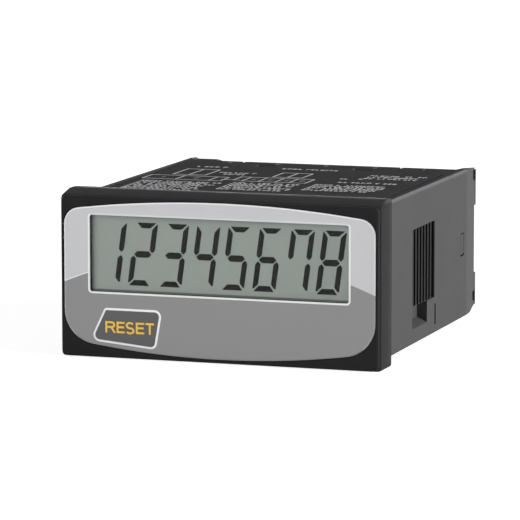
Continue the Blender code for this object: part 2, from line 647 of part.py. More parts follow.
def side_recesses():
    # One side's ratchet, latch pocket, slit and snap window, on the right of the case
    outside = case_half_width + OVERCUT
    comb = [(outside, ratchet_front)]
    for k in range(RATCHET_RIBS + 1):
        slot_front = ratchet_front + k * RATCHET_PITCH
        slot_back = slot_front + RATCHET_SLOT
        comb += [(pocket_back_x, slot_front), (pocket_back_x, slot_back)]
        if k < RATCHET_RIBS:
            tip = case_half_width - RATCHET_RIB_SET_BACK
            comb += [(tip, slot_back), (tip - RATCHET_RIB_SLOPE, slot_front + RATCHET_PITCH)]
    comb.append((outside, ratchet_end))
    ratchet_low = case_middle - RATCHET_BOTTOM
    sill = case_middle - POCKET_BOTTOM
    pocket = [Vector(point) for point in (
        (pocket_back_x, sill), (case_half_width, sill - POCKET_SILL_DROP), (outside, sill - POCKET_SILL_DROP),
        (outside, ratchet_low + SEAT_GAP), (pocket_back_x, ratchet_low + SEAT_GAP))]
    slit_front = ratchet_end + SEAT_GAP
    slit_top = case_middle - LATCH_SLIT_TOP
    snap_end = top_edge - SIDE_SNAP_FROM_END
    return (prism_up(comb, ratchet_low, case_middle + RATCHET_TOP),
            prism(pocket, ratchet_front, ratchet_front + POCKET_LENGTH),
            block((pocket_back_x, outside), (slit_front, slit_front + LATCH_SLIT_WIDTH),
                  (slit_top - LATCH_SLIT_LENGTH, slit_top)),
            block((case_inner_half - OVERCUT, outside), (snap_end - SIDE_SNAP_LENGTH, snap_end),
                  (case_middle - SIDE_SNAP_HEIGHT / 2, case_middle + SIDE_SNAP_HEIGHT / 2)))


def both_walls(x, y, depth):
    # Two cutters, one for the top wall and one for the bottom wall, to a depth from the outside
    return [block(x, y, (case_top - depth, case_top + OVERCUT)),
            block(x, y, (case_bottom - OVERCUT, case_bottom + depth))]


def make_case():
    case = object_from("body_case", [prism(rounded_rectangle(
        -case_half_width, case_half_width, case_bottom, case_top, CASE_CORNER), case_front, ear_end)],
        finish("case_plastic", (96, 96, 98), 0.50))
    cut(case, "case_inside", [prism(rounded_rectangle(
        -case_inner_half, case_inner_half, case_inner_bottom, case_inner_top, CASE_INNER_CORNER),
        case_front - OVERCUT, ear_end + OVERCUT)])

    # The top and bottom walls stop short, and the side walls run on as thinner ears
    ear_inner = case_half_width - EAR_END_WALL
    taper_end = top_edge + EAR_TAPER_LENGTH
    cut(case, "rear_opening", [prism_up(
        [(-case_inner_half, top_edge), (case_inner_half, top_edge), (ear_inner, taper_end),
         (ear_inner, ear_end + OVERCUT), (-ear_inner, ear_end + OVERCUT), (-ear_inner, taper_end)],
        case_bottom - OVERCUT, case_top + OVERCUT)])
    wide = case_half_width + OVERCUT
    cut(case, "ear_slopes", [
        prism_across([(top_edge + EAR_TOP_START, case_top), (ear_end, case_top - EAR_TOP_DROP),
                      (ear_end + OVERCUT, case_top - EAR_TOP_DROP), (ear_end + OVERCUT, case_top + OVERCUT),
                      (top_edge + EAR_TOP_START, case_top + OVERCUT)], -wide, wide),
        prism_across([(top_edge + EAR_BOTTOM_START, case_bottom), (ear_end, case_bottom + EAR_BOTTOM_DROP),
                      (ear_end + OVERCUT, case_bottom + EAR_BOTTOM_DROP),
                      (ear_end + OVERCUT, case_bottom - OVERCUT),
                      (top_edge + EAR_BOTTOM_START, case_bottom - OVERCUT)], -wide, wide)])

    # Inner pads behind the side recesses, and rails above and below the main board
    pad = block((pad_x, case_inner_half + CASE_WALL / 2),
                (ratchet_front - PAD_MARGIN, ratchet_end + LATCH_SLIT_WIDTH + PAD_MARGIN),
                (case_middle - POCKET_BOTTOM - POCKET_SILL_DROP, case_middle + RATCHET_TOP + PAD_MARGIN))
    join(case, "side_pads", [mirrored_x(pad), pad])
    rails = []
    for low in (main_board_bottom - FIT_GAP - RAIL_THICKNESS, main_board_top + FIT_GAP):
        rail = block((main_board_half - RAIL_GRIP, case_inner_half + CASE_WALL / 2),
                     (arm_end + FIT_GAP, main_board_back - RAIL_GRIP), (low, low + RAIL_THICKNESS))
        rails += [mirrored_x(rail), rail]
    join(case, "board_rails", rails)

    recesses = side_recesses()
    for name, solid in zip(("ratchet", "latch_pocket", "latch_slit", "side_snap_window"), recesses):
        cut(case, name, [mirrored_x(solid), solid])

    # Bracket guide grooves, sprung tongues with their latch windows, grooves for the bezel's arms
    groove = case_half_width - RAIL_GROOVE_INSET
    grooves = []
    slits = []
    windows = []
    for side in (-1, 1):
        x = side * groove
        grooves += both_walls((x - RAIL_GROOVE_WIDTH / 2, x + RAIL_GROOVE_WIDTH / 2),
                              (case_front - OVERCUT, top_edge - RAIL_GROOVE_STOP), RAIL_GROOVE_DEPTH)
        x = side * TONGUE_HALF_WIDTH
        slits += both_walls((x - TONGUE_SLIT_WIDTH / 2, x + TONGUE_SLIT_WIDTH / 2),
                            (top_edge - TONGUE_LENGTH, top_edge + OVERCUT), CASE_WALL + OVERCUT / 2)
        x = side * LATCH_WINDOW_CENTRE
        window_end = top_edge - LATCH_WINDOW_FROM_END
        windows += both_walls((x - LATCH_WINDOW_WIDTH / 2, x + LATCH_WINDOW_WIDTH / 2),
                              (window_end - LATCH_WINDOW_LENGTH, window_end), CASE_WALL + OVERCUT / 2)
    cut(case, "guide_grooves", grooves)
    cut(case, "tongue_slits", slits)
    cut(case, "latch_windows", windows)
    catch = block((case_inner_half - OVERCUT, arm_outer + ARM_BARB + FIT_GAP),
                  (arm_end - 3 * ARM_BARB - SEAT_GAP, arm_end + FIT_GAP),
                  (arm_bottom - FIT_GAP, arm_bottom + ARM_HEIGHT + FIT_GAP))
    cut(case, "arm_catches", [mirrored_x(catch), catch])
    smooth(case)


def tail_slot(x, height, front, back):
    # A cutter that clears one contact's tail, which stands to the left in the upper row
    tail_x = x - math.copysign(CONTACT_TAIL_OFFSET, height - case_middle)
    half_width = CONTACT_TAIL_WIDTH / 2 + FIT_GAP
    half_height = CONTACT_THICKNESS / 2 + FIT_GAP
    return block((tail_x - half_width, tail_x + half_width), (front, back),
                 (height - half_height, height + half_height))


def make_terminal_block():
    block_top = case_inner_top - FIT_GAP
    block_bottom = case_inner_bottom + FIT_GAP
    rear_start = top_edge + FIT_GAP
    body = object_from("terminal_block", [block((-block_half_width, block_half_width),
                                                (block_front, rear_start + SEAT_GAP),
                                                (block_bottom, block_top))],
                       finish("terminal_plastic", (44, 44, 46), 0.45))
    join(body, "block_rear", [block((-block_half_width, block_half_width), (rear_start, flange_back),
                                    (barrier_bottom, barrier_top))])

    # Corner post at the left, which stands up to the case's top face and falls away to the rear
    post_front = top_edge + POST_SET_BACK
    post = [(post_front, block_top - CASE_WALL), (post_front, case_top),
            (post_front + POST_TOP_LENGTH, case_top), (flange_back, barrier_top),
            (flange_back, block_top - CASE_WALL)]
    join(body, "corner_post", [prism_across(post, -block_half_width, row_left)])

    # Flange pads over the rear ends of the ears, with a notch in each
    pads = []
    notches = []
    for side in (-1, 1):
        x = sorted((side * (block_half_width - BARRIER / 2), side * case_half_width))
        notch_x = sorted((side * (case_half_width - FLANGE_NOTCH_DEPTH), side * (case_half_width + OVERCUT)))
        for edge, inner in ((case_top - EAR_TOP_DROP, case_middle + FLANGE_INNER),
                            (case_bottom + EAR_BOTTOM_DROP, case_middle - FLANGE_INNER)):
            pads.append(block(x, (flange_front, flange_back), sorted((inner, edge))))
            away = math.copysign(1, inner - edge)
            start = edge + away * FLANGE_NOTCH_FROM_EDGE
            notches.append(block(notch_x, (flange_front - OVERCUT, flange_front + FLANGE_NOTCH_DEPTH),
                                 sorted((start, start + away * FLANGE_NOTCH_HEIGHT))))
    join(body, "flange_pads", pads)
    cut(body, "flange_notches", notches)

    # Snaps at the sides, above and below
    snap_end = top_edge - SIDE_SNAP_FROM_END
    snap_half = SIDE_SNAP_HEIGHT / 2 - FIT_GAP
    side_snap = block((block_half_width - BARRIER / 2, case_half_width - SEAT_GAP),
                      (snap_end - SIDE_SNAP_LENGTH + FIT_GAP, snap_end - FIT_GAP),
                      (case_middle - snap_half, case_middle + snap_half))
    window_end = top_edge - LATCH_WINDOW_FROM_END
    latch_y = (max(window_end - LATCH_WINDOW_LENGTH, block_front) + FIT_GAP, window_end - FIT_GAP)
    latch_half = LATCH_WINDOW_WIDTH / 2 - FIT_GAP
    latches = []
    for x in (-LATCH_WINDOW_CENTRE, LATCH_WINDOW_CENTRE):
        for near, far in ((block_top - FIT_GAP, case_top - CASE_WALL / 2),
                          (block_bottom + FIT_GAP, case_bottom + CASE_WALL / 2)):
            latches.append(block((x - latch_half, x + latch_half), latch_y, sorted((near, far))))
    join(body, "snaps", [mirrored_x(side_snap), side_snap] + latches)

    # A channel, a screw bore and a slot for the contact's tail at each terminal
    channels = []
    bores = []
    tails = []
    bore = SCREW_SHANK_DIAMETER / 2 + SLIDE_GAP
    for height, turn in rows:
        away = math.copysign(1, height - case_middle)
        z = sorted((case_middle + away * channel_floor, height + away * (CASE_WALL + SCREW_HEAD_DIAMETER)))
        for x in terminal_x:
            channels.append(block((x - channel_width / 2, x + channel_width / 2),
                                  (block_floor, flange_back + OVERCUT), z))
            bores.append(moved(turned([(head_front - SCREW_LENGTH - BORE_PAST_SCREW, bore),
                                       (block_floor + OVERCUT, bore)], 16), (x, 0, height)))
            tails.append(tail_slot(x, height, block_front - OVERCUT, block_floor + OVERCUT))
    cut(body, "channels", channels)
    cut(body, "screw_bores", bores)
    cut(body, "tail_slots", tails)
    smooth(body)


def make_terminals():
    # One contact, one clamp and one screw, each copied to every terminal
    half_width = channel_width / 2
    contact_half = half_width - CONTACT_SIDE_GAP
    contact = object_from("contact", [block((-contact_half, contact_half), (contact_front, contact_back),
                                            (-CONTACT_HALF_HEIGHT, CONTACT_HALF_HEIGHT))],
                          finish("terminal_brass", (196, 160, 92), 0.30, 1.0))
    tail_end = terminal_board_front - CONTACT_TAIL_PAST_BOARD
    join(contact, "contact_tail", [block(
        (-CONTACT_TAIL_OFFSET - CONTACT_TAIL_WIDTH / 2, -CONTACT_TAIL_OFFSET + CONTACT_TAIL_WIDTH / 2),
        (tail_end, contact_front + CONTACT_THICKNESS / 2), (-CONTACT_THICKNESS / 2, CONTACT_THICKNESS / 2))])
    bore = SCREW_SHANK_DIAMETER / 2 + SLIDE_GAP
    cut(contact, "contact_hole", [turned([(contact_front - OVERCUT, bore),
                                          (contact_back + OVERCUT, bore)], 16)])

    clamp_half = half_width - CLAMP_SIDE_GAP
    lip = clamp_front - CLAMP_LIP
    lip_inner = clamp_half - CLAMP_LIP_WIDTH
    section = [(-clamp_half, lip), (-lip_inner, lip), (-lip_inner, clamp_front), (lip_inner, clamp_front),
               (lip_inner, lip), (clamp_half, lip), (clamp_half, clamp_back), (-clamp_half, clamp_back)]
    clamp = object_from("clamp", [prism_up(section, -CONTACT_HALF_HEIGHT, CONTACT_HALF_HEIGHT)],
                        finish("clamp_steel", (170, 172, 174), 0.35, 1.0))
    cut(clamp, "clamp_hole", [turned([(lip - OVERCUT, bore), (clamp_back + OVERCUT, bore)], 16)])

    shank = SCREW_SHANK_DIAMETER / 2
    head = SCREW_HEAD_DIAMETER / 2
    tip = head_front - SCREW_LENGTH
    screw = object_from("screw", [turned(
        [(tip, shank * 0.7), (tip + shank * 0.3, shank), (head_front, shank), (head_front, head),
         (head_front + SCREW_HEAD_HEIGHT * 0.55, head), (head_front + SCREW_HEAD_HEIGHT * 0.85, head * 0.9),
         (head_front + SCREW_HEAD_HEIGHT, head * 0.68)], 18)],
        finish("screw_steel", (186, 188, 190), 0.28, 1.0))
    top = head_front + SCREW_HEAD_HEIGHT
    slot_y = (top - SCREW_SLOT_DEPTH, top + OVERCUT)
    long = SCREW_SLOT_LENGTH / 2
    thin = SCREW_SLOT_WIDTH / 2
    cut(screw, "cross_recess_across", [block((-long, long), slot_y, (-thin, thin))])
    cut(screw, "cross_recess_up", [block((-thin, thin), slot_y, (-long, long))])
    smooth(screw)

    meshes = [("terminal_contact", finished_mesh(contact, "terminal_contact")),
              ("terminal_clamp", finished_mesh(clamp, "terminal_clamp")),
              ("terminal_screw", finished_mesh(screw, "terminal_screw"))]
    for row, (height, turn) in enumerate(rows):
        for i, x in enumerate(terminal_x):
            number = row * TERMINALS_PER_ROW + i + 1
            for name, mesh in meshes:
                place(f"{name}_{number}", mesh, (x, 0, height), turn)


def make_boards():
    side = case_inner_half - BOARD_SIDE_GAP
    height = (case_inner_bottom + BOARD_SIDE_GAP, case_inner_top - BOARD_SIDE_GAP)
    board = object_from("terminal_board", [block((-side, side), (terminal_board_front, terminal_board_back),
                                                 height)], finish("terminal_laminate", (36, 92, 58), 0.45))
    holes = []
    for height, turn in rows:
        for x in terminal_x:
            holes.append(tail_slot(x, height, terminal_board_front - OVERCUT, terminal_board_back + OVERCUT))
    cut(board, "tail_holes", holes)

    object_from("main_board", [block((-main_board_half, main_board_half), (main_board_front, main_board_back),
                                     (main_board_bottom, main_board_top))],
                finish("main_laminate", (36, 92, 58), 0.45))

    half = HEADER_PINS * HEADER_PITCH / 2
    base = main_board_top + SEAT_GAP
    middle = -main_board_half + HEADER_FROM_SIDE
    header = object_from("board_header", [block(
        (middle - half, middle + half), (main_board_front, main_board_front + HEADER_BODY),
        (base, base + HEADER_BODY))], finish("header_plastic", (30, 30, 32), 0.45))
    pin_z = base + HEADER_BODY / 2
    pins = []
    for i in range(HEADER_PINS):
        x = middle + (i - (HEADER_PINS - 1) / 2) * HEADER_PITCH
        pins.append(block((x - HEADER_PIN / 2, x + HEADER_PIN / 2),
                          (display_board_back + SEAT_GAP, main_board_front + HEADER_BODY / 2),
                          (pin_z - HEADER_PIN / 2, pin_z + HEADER_PIN / 2)))
    join(header, "header_pins", pins)


def make_counter_chip():
    # Leads run out from all four sides of the body and down to the board
    half = CHIP_SIZE / 2
    seat = display_board_back + SEAT_GAP
    chip = object_from("counter_chip", [prism(rounded_rectangle(-half, half, -half, half, half / 16),
                                              seat + CHIP_LEAD_THICKNESS, seat + CHIP_HEIGHT)],
                       finish("chip_epoxy", (34, 34, 36), 0.55),
                       (cavity_half_width - BOARD_SIDE_GAP - CHIP_FROM_SIDE, 0,
                        cavity_top - BOARD_SIDE_GAP - CHIP_FROM_TOP))
    leads = []
    for i in range(CHIP_LEADS_PER_SIDE):
        along = (i - (CHIP_LEADS_PER_SIDE - 1) / 2) * CHIP_LEAD_PITCH
        span = (along - CHIP_LEAD_WIDTH / 2, along + CHIP_LEAD_WIDTH / 2)
        for side in (-1, 1):
            reach = sorted((side * (half - CHIP_LEAD_REACH), side * (half + CHIP_LEAD_REACH)))
            depth = (seat, seat + 2 * CHIP_LEAD_THICKNESS)
            leads.append(block(reach, depth, span))
            leads.append(block(span, depth, reach))
    join(chip, "chip_leads", leads)


def make_cell():
    bevel = cell_radius / 12
    button = CELL_BUTTON_DIAMETER / 2
    axis = (cell_x, 0, cell_z)
    smooth(object_from("battery_cell", [turned(
        [(cell_front, cell_radius - bevel), (cell_front + bevel, cell_radius),
         (cell_back - bevel, cell_radius), (cell_back, cell_radius - bevel), (cell_back, button),
         (cell_back + CELL_BUTTON_HEIGHT, button)], 32)],
        finish("cell_sleeve", (92, 120, 150), 0.40), axis))
    top = cell_z + button
    base = main_board_top + SEAT_GAP
    for name, contact, away in (("cell_tab_front", cell_front - SEAT_GAP, -1),
                                ("cell_tab_rear", cell_back + CELL_BUTTON_HEIGHT + SEAT_GAP, 1)):
        far = contact + away * TAB_THICKNESS
        foot = contact + away * TAB_FOOT
        section = [(contact, base), (foot, base), (foot, base + TAB_THICKNESS), (far, base + TAB_THICKNESS),
                   (far, top), (contact, top)]
        strip = prism_across(section, cell_x - TAB_WIDTH / 2, cell_x + TAB_WIDTH / 2)
        object_from(name, [strip], finish(name + "_nickel", (190, 188, 180), 0.30, 1.0))


def make_board_parts():
    base = main_board_top + SEAT_GAP
    half = ISOLATOR_WIDTH / 2
    leg = ISOLATOR_HEIGHT / 8
    isolator = object_from("input_isolator", [prism_up(rounded_rectangle(
        -half, half, -ISOLATOR_LENGTH / 2, ISOLATOR_LENGTH / 2, leg), base + leg, base + ISOLATOR_HEIGHT)],
        finish("isolator_epoxy", (40, 40, 42), 0.55),
        (-main_board_half + ISOLATOR_FROM_SIDE, main_board_back - ISOLATOR_FROM_BACK, 0))
    pitch = ISOLATOR_LENGTH / ISOLATOR_LEGS_PER_SIDE
    legs = []
    for i in range(ISOLATOR_LEGS_PER_SIDE):
        y = (i - (ISOLATOR_LEGS_PER_SIDE - 1) / 2) * pitch
        for side in (-1, 1):
            legs.append(block(sorted((side * (half - leg), side * (half + leg))), (y - leg, y + leg),
                              (base, base + ISOLATOR_HEIGHT / 2)))
    join(isolator, "isolator_legs", legs)

    radius = CAPACITOR_DIAMETER / 2
    rim = radius / 8
    profile = [(base, radius), (base + 4 * rim, radius), (base + 5 * rim, radius - rim),
               (base + 6 * rim, radius), (base + CAPACITOR_HEIGHT - rim, radius),
               (base + CAPACITOR_HEIGHT, radius - rim)]
    can = loft([[(u, v, z) for u, v in circle(r, 24)] for z, r in profile])
    smooth(object_from("smoothing_capacitor", [can], finish("capacitor_sleeve", (58, 58, 84), 0.35),
                       (cell_x - cell_radius - CAPACITOR_FROM_CELL - radius,
                        main_board_front + CAPACITOR_FROM_FRONT, 0)))

    loops = []
    for z, grow in ((base, CRYSTAL_BRIM), (base + CRYSTAL_BRIM, CRYSTAL_BRIM), (base + CRYSTAL_BRIM, 0.0),
                    (base + CRYSTAL_HEIGHT, 0.0)):
        x = CRYSTAL_LENGTH / 2 + grow
        y = CRYSTAL_WIDTH / 2 + grow
        loops.append([(u, v, z) for u, v in rounded_rectangle(-x, x, -y, y, y, 6)])
    smooth(object_from("crystal_can", [loft(loops)], finish("can_metal", (186, 186, 182), 0.30, 1.0),
                       (-main_board_half + CRYSTAL_FROM_SIDE, main_board_front + CRYSTAL_FROM_FRONT, 0)))


for old in list(bpy.data.objects):
    bpy.data.objects.remove(old, do_unlink=True)

# The counter's own origin goes to the middle of its length, on the plane that its lowest edge rests on
counter = bpy.data.objects.new("panel_counter", None)
bpy.context.scene.collection.objects.link(counter)
counter.location = (0, -flange_back / 2, half_height)

make_bezel()
make_overlay()
make_display()
make_display_board()
make_reset_key()
make_case()
make_terminal_block()
make_terminals()
make_boards()
make_counter_chip()
make_cell()
make_board_parts()
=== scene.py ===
import math
import random

import bmesh
import bpy
from mathutils import Matrix, Vector
from mathutils.geometry import delaunay_2d_cdt


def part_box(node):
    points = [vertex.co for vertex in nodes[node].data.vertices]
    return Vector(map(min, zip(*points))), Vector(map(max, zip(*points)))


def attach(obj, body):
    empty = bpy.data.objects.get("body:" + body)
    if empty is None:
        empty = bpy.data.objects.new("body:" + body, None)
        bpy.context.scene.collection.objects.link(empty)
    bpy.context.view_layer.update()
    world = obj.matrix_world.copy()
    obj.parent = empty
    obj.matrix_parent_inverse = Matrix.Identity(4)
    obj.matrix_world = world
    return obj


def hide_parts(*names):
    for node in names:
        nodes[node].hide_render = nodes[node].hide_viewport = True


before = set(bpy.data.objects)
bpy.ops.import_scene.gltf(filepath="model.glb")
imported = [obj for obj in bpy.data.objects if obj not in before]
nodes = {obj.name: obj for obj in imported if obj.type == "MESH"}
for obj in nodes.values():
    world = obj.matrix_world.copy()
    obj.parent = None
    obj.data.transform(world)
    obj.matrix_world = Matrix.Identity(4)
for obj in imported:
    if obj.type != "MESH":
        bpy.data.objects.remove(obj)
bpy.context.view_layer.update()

mm = 0.001
bezelLow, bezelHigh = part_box("front_bezel")
frontY = bezelLow.y                                 # front plane of the bezel
middleZ = (bezelLow.z + bezelHigh.z) / 2


def spot(x, y, z):
    # millimetres from the middle of the bezel's front face, as metres in the frame
    return Vector((x * mm, frontY + y * mm, middleZ + z * mm))


# Camera, at the photograph's viewing angle
cameraSet = {
    "azimuth": 18.495,      # degrees
    "elevation": 8.032,
    "roll": -0.054,
    "distance": 552.963,    # millimetres from the point it looks at
    "lookAt": (6.313, 0.0, 3.228),
    "lens": 271.53,
}


def makeCamera(s):
    azimuth, elevation, roll = (math.radians(s[k]) for k in ("azimuth", "elevation", "roll"))
    back = Vector((math.sin(azimuth) * math.cos(elevation), -math.cos(azimuth) * math.cos(elevation),
                   math.sin(elevation)))
    right = Vector((0, 0, 1)).cross(back).normalized()
    up = back.cross(right)
    turned = [right * math.cos(roll) + up * math.sin(roll), up * math.cos(roll) - right * math.sin(roll), back]
    data = bpy.data.cameras.new("camera")
    data.sensor_width = 36.0
    data.lens = s["lens"]
    data.clip_start = 0.01
    data.clip_end = 20.0
    data.dof.use_dof = False
    camera = bpy.data.objects.new("camera", data)
    bpy.context.scene.collection.objects.link(camera)
    place = spot(*s["lookAt"]) + back * s["distance"] * mm
    camera.matrix_world = Matrix.Translation(place) @ Matrix(turned).transposed().to_4x4()
    bpy.context.scene.camera = camera


makeCamera(cameraSet)
print("camera made")


# Shader helpers
def screen(level):
    value = level / 255
    return value / 12.92 if value <= 0.04045 else ((value + 0.055) / 1.055) ** 2.4


def colour(*levels):
    # screen levels from 0 to 255, as a linear colour
    return tuple(screen(v) for v in levels) + (1.0,)


def newGroup(name, inputs, outputs):
    # a shader node group with named sockets: (name, kind, default)
    tree = bpy.data.node_groups.new(name, "ShaderNodeTree")
    for label, kind, value in inputs:
        socket = tree.interface.new_socket(label, in_out="INPUT", socket_type="NodeSocket" + kind)
        if value is not None:
            socket.default_value = value
    for label, kind in outputs:
        tree.interface.new_socket(label, in_out="OUTPUT", socket_type="NodeSocket" + kind)
    return tree, tree.nodes.new("NodeGroupInput"), tree.nodes.new("NodeGroupOutput")


def addNode(tree, kind, values=None, **settings):
    node = tree.nodes.new("ShaderNode" + kind)
    for key, value in settings.items():
        setattr(node, key, value)
    for key, value in (values or {}).items():
        if isinstance(value, bpy.types.NodeSocket):
            tree.links.new(value, node.inputs[key])
        else:
            node.inputs[key].default_value = value
    return node


def math2(tree, operation, a, b=0.0, clamp=False):
    node = addNode(tree, "Math", operation=operation, use_clamp=clamp)
    for socket, value in zip(node.inputs, (a, b)):
        if isinstance(value, bpy.types.NodeSocket):
            tree.links.new(value, socket)
        else:
            socket.default_value = value
    return node.outputs[0]


def mixColour(tree, factor, a, b, blend="MIX"):
    node = tree.nodes.new("ShaderNodeMix")
    node.data_type = "RGBA"
    node.blend_type = blend
    for index, value in ((0, factor), (6, a), (7, b)):
        if isinstance(value, bpy.types.NodeSocket):
            tree.links.new(value, node.inputs[index])
        else:
            node.inputs[index].default_value = value
    return node.outputs[2]


def makeMouldGrain():
    # fine spark texture of a moulded face: a height for bump, and a mask that varies the gloss
    tree, start, end = newGroup("mouldGrain", [
        ("Grain Size", "Float", 0.12), ("Soft Size", "Float", 3.0)],
        [("Height", "Float"), ("Gloss Mask", "Float")])
    place = addNode(tree, "TexCoord").outputs["Object"]
    fineScale = math2(tree, "DIVIDE", 1000.0, start.outputs["Grain Size"])
    softScale = math2(tree, "DIVIDE", 1000.0, start.outputs["Soft Size"])
    fine = addNode(tree, "TexNoise", {"Vector": place, "Scale": fineScale, "Detail": 3.0, "Roughness": 0.6})
    cells = addNode(tree, "TexVoronoi", {"Vector": place, "Scale": fineScale, "Randomness": 1.0})
    soft = addNode(tree, "TexNoise", {"Vector": place, "Scale": softScale, "Detail": 2.0})
    height = math2(tree, "MULTIPLY_ADD", cells.outputs["Distance"], 0.35)
    tree.links.new(fine.outputs["Fac"], height.node.inputs[2])
    tree.links.new(height, end.inputs["Height"])
    tree.links.new(soft.outputs["Fac"], end.inputs["Gloss Mask"])
    return tree


def makeHandling():
    # faint dust, as colour over a base colour
    tree, start, end = newGroup("handling", [
        ("Base", "Color", (0.5, 0.5, 0.5, 1.0)), ("Dust", "Float", 0.1),
        ("Dust Colour", "Color", colour(176, 172, 164)), ("Patch Size", "Float", 6.0)],
        [("Colour", "Color"), ("Dust Mask", "Float")])
    coords = addNode(tree, "TexCoord").outputs["Object"]
    patchScale = math2(tree, "DIVIDE", 1000.0, start.outputs["Patch Size"])
    patches = addNode(tree, "TexNoise", {"Vector": coords, "Scale": patchScale, "Detail": 4.0, "Roughness": 0.62})
    specks = addNode(tree, "TexNoise", {"Vector": coords, "Scale": 3200.0, "Detail": 2.0})
    facing = addNode(tree, "SeparateXYZ", {"Vector": addNode(tree, "NewGeometry").outputs["Normal"]})
    upward = math2(tree, "MAXIMUM", facing.outputs["Z"], 0.0)
    lift = math2(tree, "MULTIPLY_ADD", upward, 0.6)
    lift.node.inputs[2].default_value = 0.25
    amount = math2(tree, "MULTIPLY", patches.outputs["Fac"], specks.outputs["Fac"])
    amount = math2(tree, "MULTIPLY", amount, lift)
    amount = math2(tree, "MULTIPLY", amount, start.outputs["Dust"], clamp=True)
    mixed = mixColour(tree, amount, start.outputs["Base"], start.outputs["Dust Colour"])
    tree.links.new(mixed, end.inputs["Colour"])
    tree.links.new(amount, end.inputs["Dust Mask"])
    return tree


def makePaintedEdgeHighlight():
    # painted highlight along long edges: lighter from how near a point lies to the sides and the top of a box
    tree, start, end = newGroup("edgeRub", [
        ("Half Width", "Float", 0.02), ("Top", "Float", 0.02), ("Reach", "Float", 0.0005)], [("Mask", "Float")])
    place = addNode(tree, "SeparateXYZ", {"Vector": addNode(tree, "TexCoord").outputs["Object"]})
    across = math2(tree, "SUBTRACT", math2(tree, "ABSOLUTE", place.outputs["X"]), start.outputs["Half Width"])
    across = math2(tree, "DIVIDE", across, start.outputs["Reach"])
    across = math2(tree, "ADD", across, 1.0, clamp=True)
    upper = math2(tree, "SUBTRACT", place.outputs["Z"], start.outputs["Top"])
    upper = math2(tree, "DIVIDE", upper, start.outputs["Reach"])
    upper = math2(tree, "ADD", upper, 1.0, clamp=True)
    broken = addNode(tree, "TexNoise", {"Vector": addNode(tree, "TexCoord").outputs["Object"], "Scale": 420.0,
                                        "Detail": 3.0})
    broken = addNode(tree, "MapRange", {"Value": broken.outputs["Fac"], "From Min": 0.3, "From Max": 0.6,
                                        "To Min": 0.7, "To Max": 1.0})
    mask = math2(tree, "MULTIPLY", math2(tree, "MULTIPLY", across, upper), broken.outputs["Result"], clamp=True)
    tree.links.new(mask, end.inputs["Mask"])
    return tree


recessReach = {  # millimetres in from the sides or down from the top
    "deep": (0.02, 0.38), "sideStart": 0.7, "groove": (0.03, 0.14), "grooveEnd": 0.6, "grooveBand": (1.0, 2.3),
    "sillShare": 0.85,      # how much less painted shade an upward face takes
}


def makeRecessShade(s):
    # painted shade in the recesses of a case's sides and in the grooves of its top
    tree, start, end = newGroup("recessShade", [
        ("Half Width", "Float", 0.02), ("Front", "Float", 0.0), ("Back", "Float", 0.03), ("Top", "Float", 0.02),
        ("Bottom", "Float", 0.001), ("Pocket", "Float", 0.006), ("Pocket Share", "Float", 0.6),
        ("Pocket Back", "Float", 0.0)],
        [("Mask", "Float")])
    place = addNode(tree, "SeparateXYZ", {"Vector": addNode(tree, "TexCoord").outputs["Object"]})
    x, y, z = (place.outputs[k] for k in "XYZ")
    inward = math2(tree, "SUBTRACT", start.outputs["Half Width"], math2(tree, "ABSOLUTE", x))
    deep = addNode(tree, "MapRange", {"Value": inward, "From Min": s["deep"][0] * mm,
                                      "From Max": s["deep"][1] * mm}, interpolation_type="SMOOTHSTEP")
    along = math2(tree, "MULTIPLY", math2(tree, "GREATER_THAN", y, start.outputs["Front"]),
                  math2(tree, "LESS_THAN", y, start.outputs["Back"]))
    below = math2(tree, "SUBTRACT", start.outputs["Top"], z)
    high = math2(tree, "MULTIPLY", math2(tree, "GREATER_THAN", below, s["sideStart"] * mm),
                 math2(tree, "GREATER_THAN", z, start.outputs["Bottom"]))
    side = math2(tree, "MULTIPLY", math2(tree, "MULTIPLY", deep.outputs["Result"], along), high)
    facing = addNode(tree, "SeparateXYZ", {"Vector": addNode(tree, "NewGeometry").outputs["Normal"]})
    sill = math2(tree, "MULTIPLY", math2(tree, "MAXIMUM", facing.outputs["Z"], 0.0), s["sillShare"])
    side = math2(tree, "MULTIPLY", side, math2(tree, "SUBTRACT", 1.0, sill))
    inPocket = math2(tree, "MULTIPLY", math2(tree, "LESS_THAN", z, start.outputs["Pocket"]),
                     math2(tree, "LESS_THAN", y, start.outputs["Pocket Back"]))
    keep = math2(tree, "SUBTRACT", 1.0, math2(tree, "MULTIPLY", inPocket,
                                              math2(tree, "SUBTRACT", 1.0, start.outputs["Pocket Share"])))
    side = math2(tree, "MULTIPLY", side, keep)
    groove = addNode(tree, "MapRange", {"Value": below, "From Min": s["groove"][0] * mm,
                                        "From Max": s["groove"][1] * mm})
    near = math2(tree, "MULTIPLY", math2(tree, "LESS_THAN", below, s["grooveEnd"] * mm),
                 math2(tree, "MULTIPLY", math2(tree, "GREATER_THAN", inward, s["grooveBand"][0] * mm),
                       math2(tree, "LESS_THAN", inward, s["grooveBand"][1] * mm)))
    upper = math2(tree, "MULTIPLY", groove.outputs["Result"], near)
    tree.links.new(math2(tree, "MAXIMUM", side, upper), end.inputs["Mask"])
    return tree


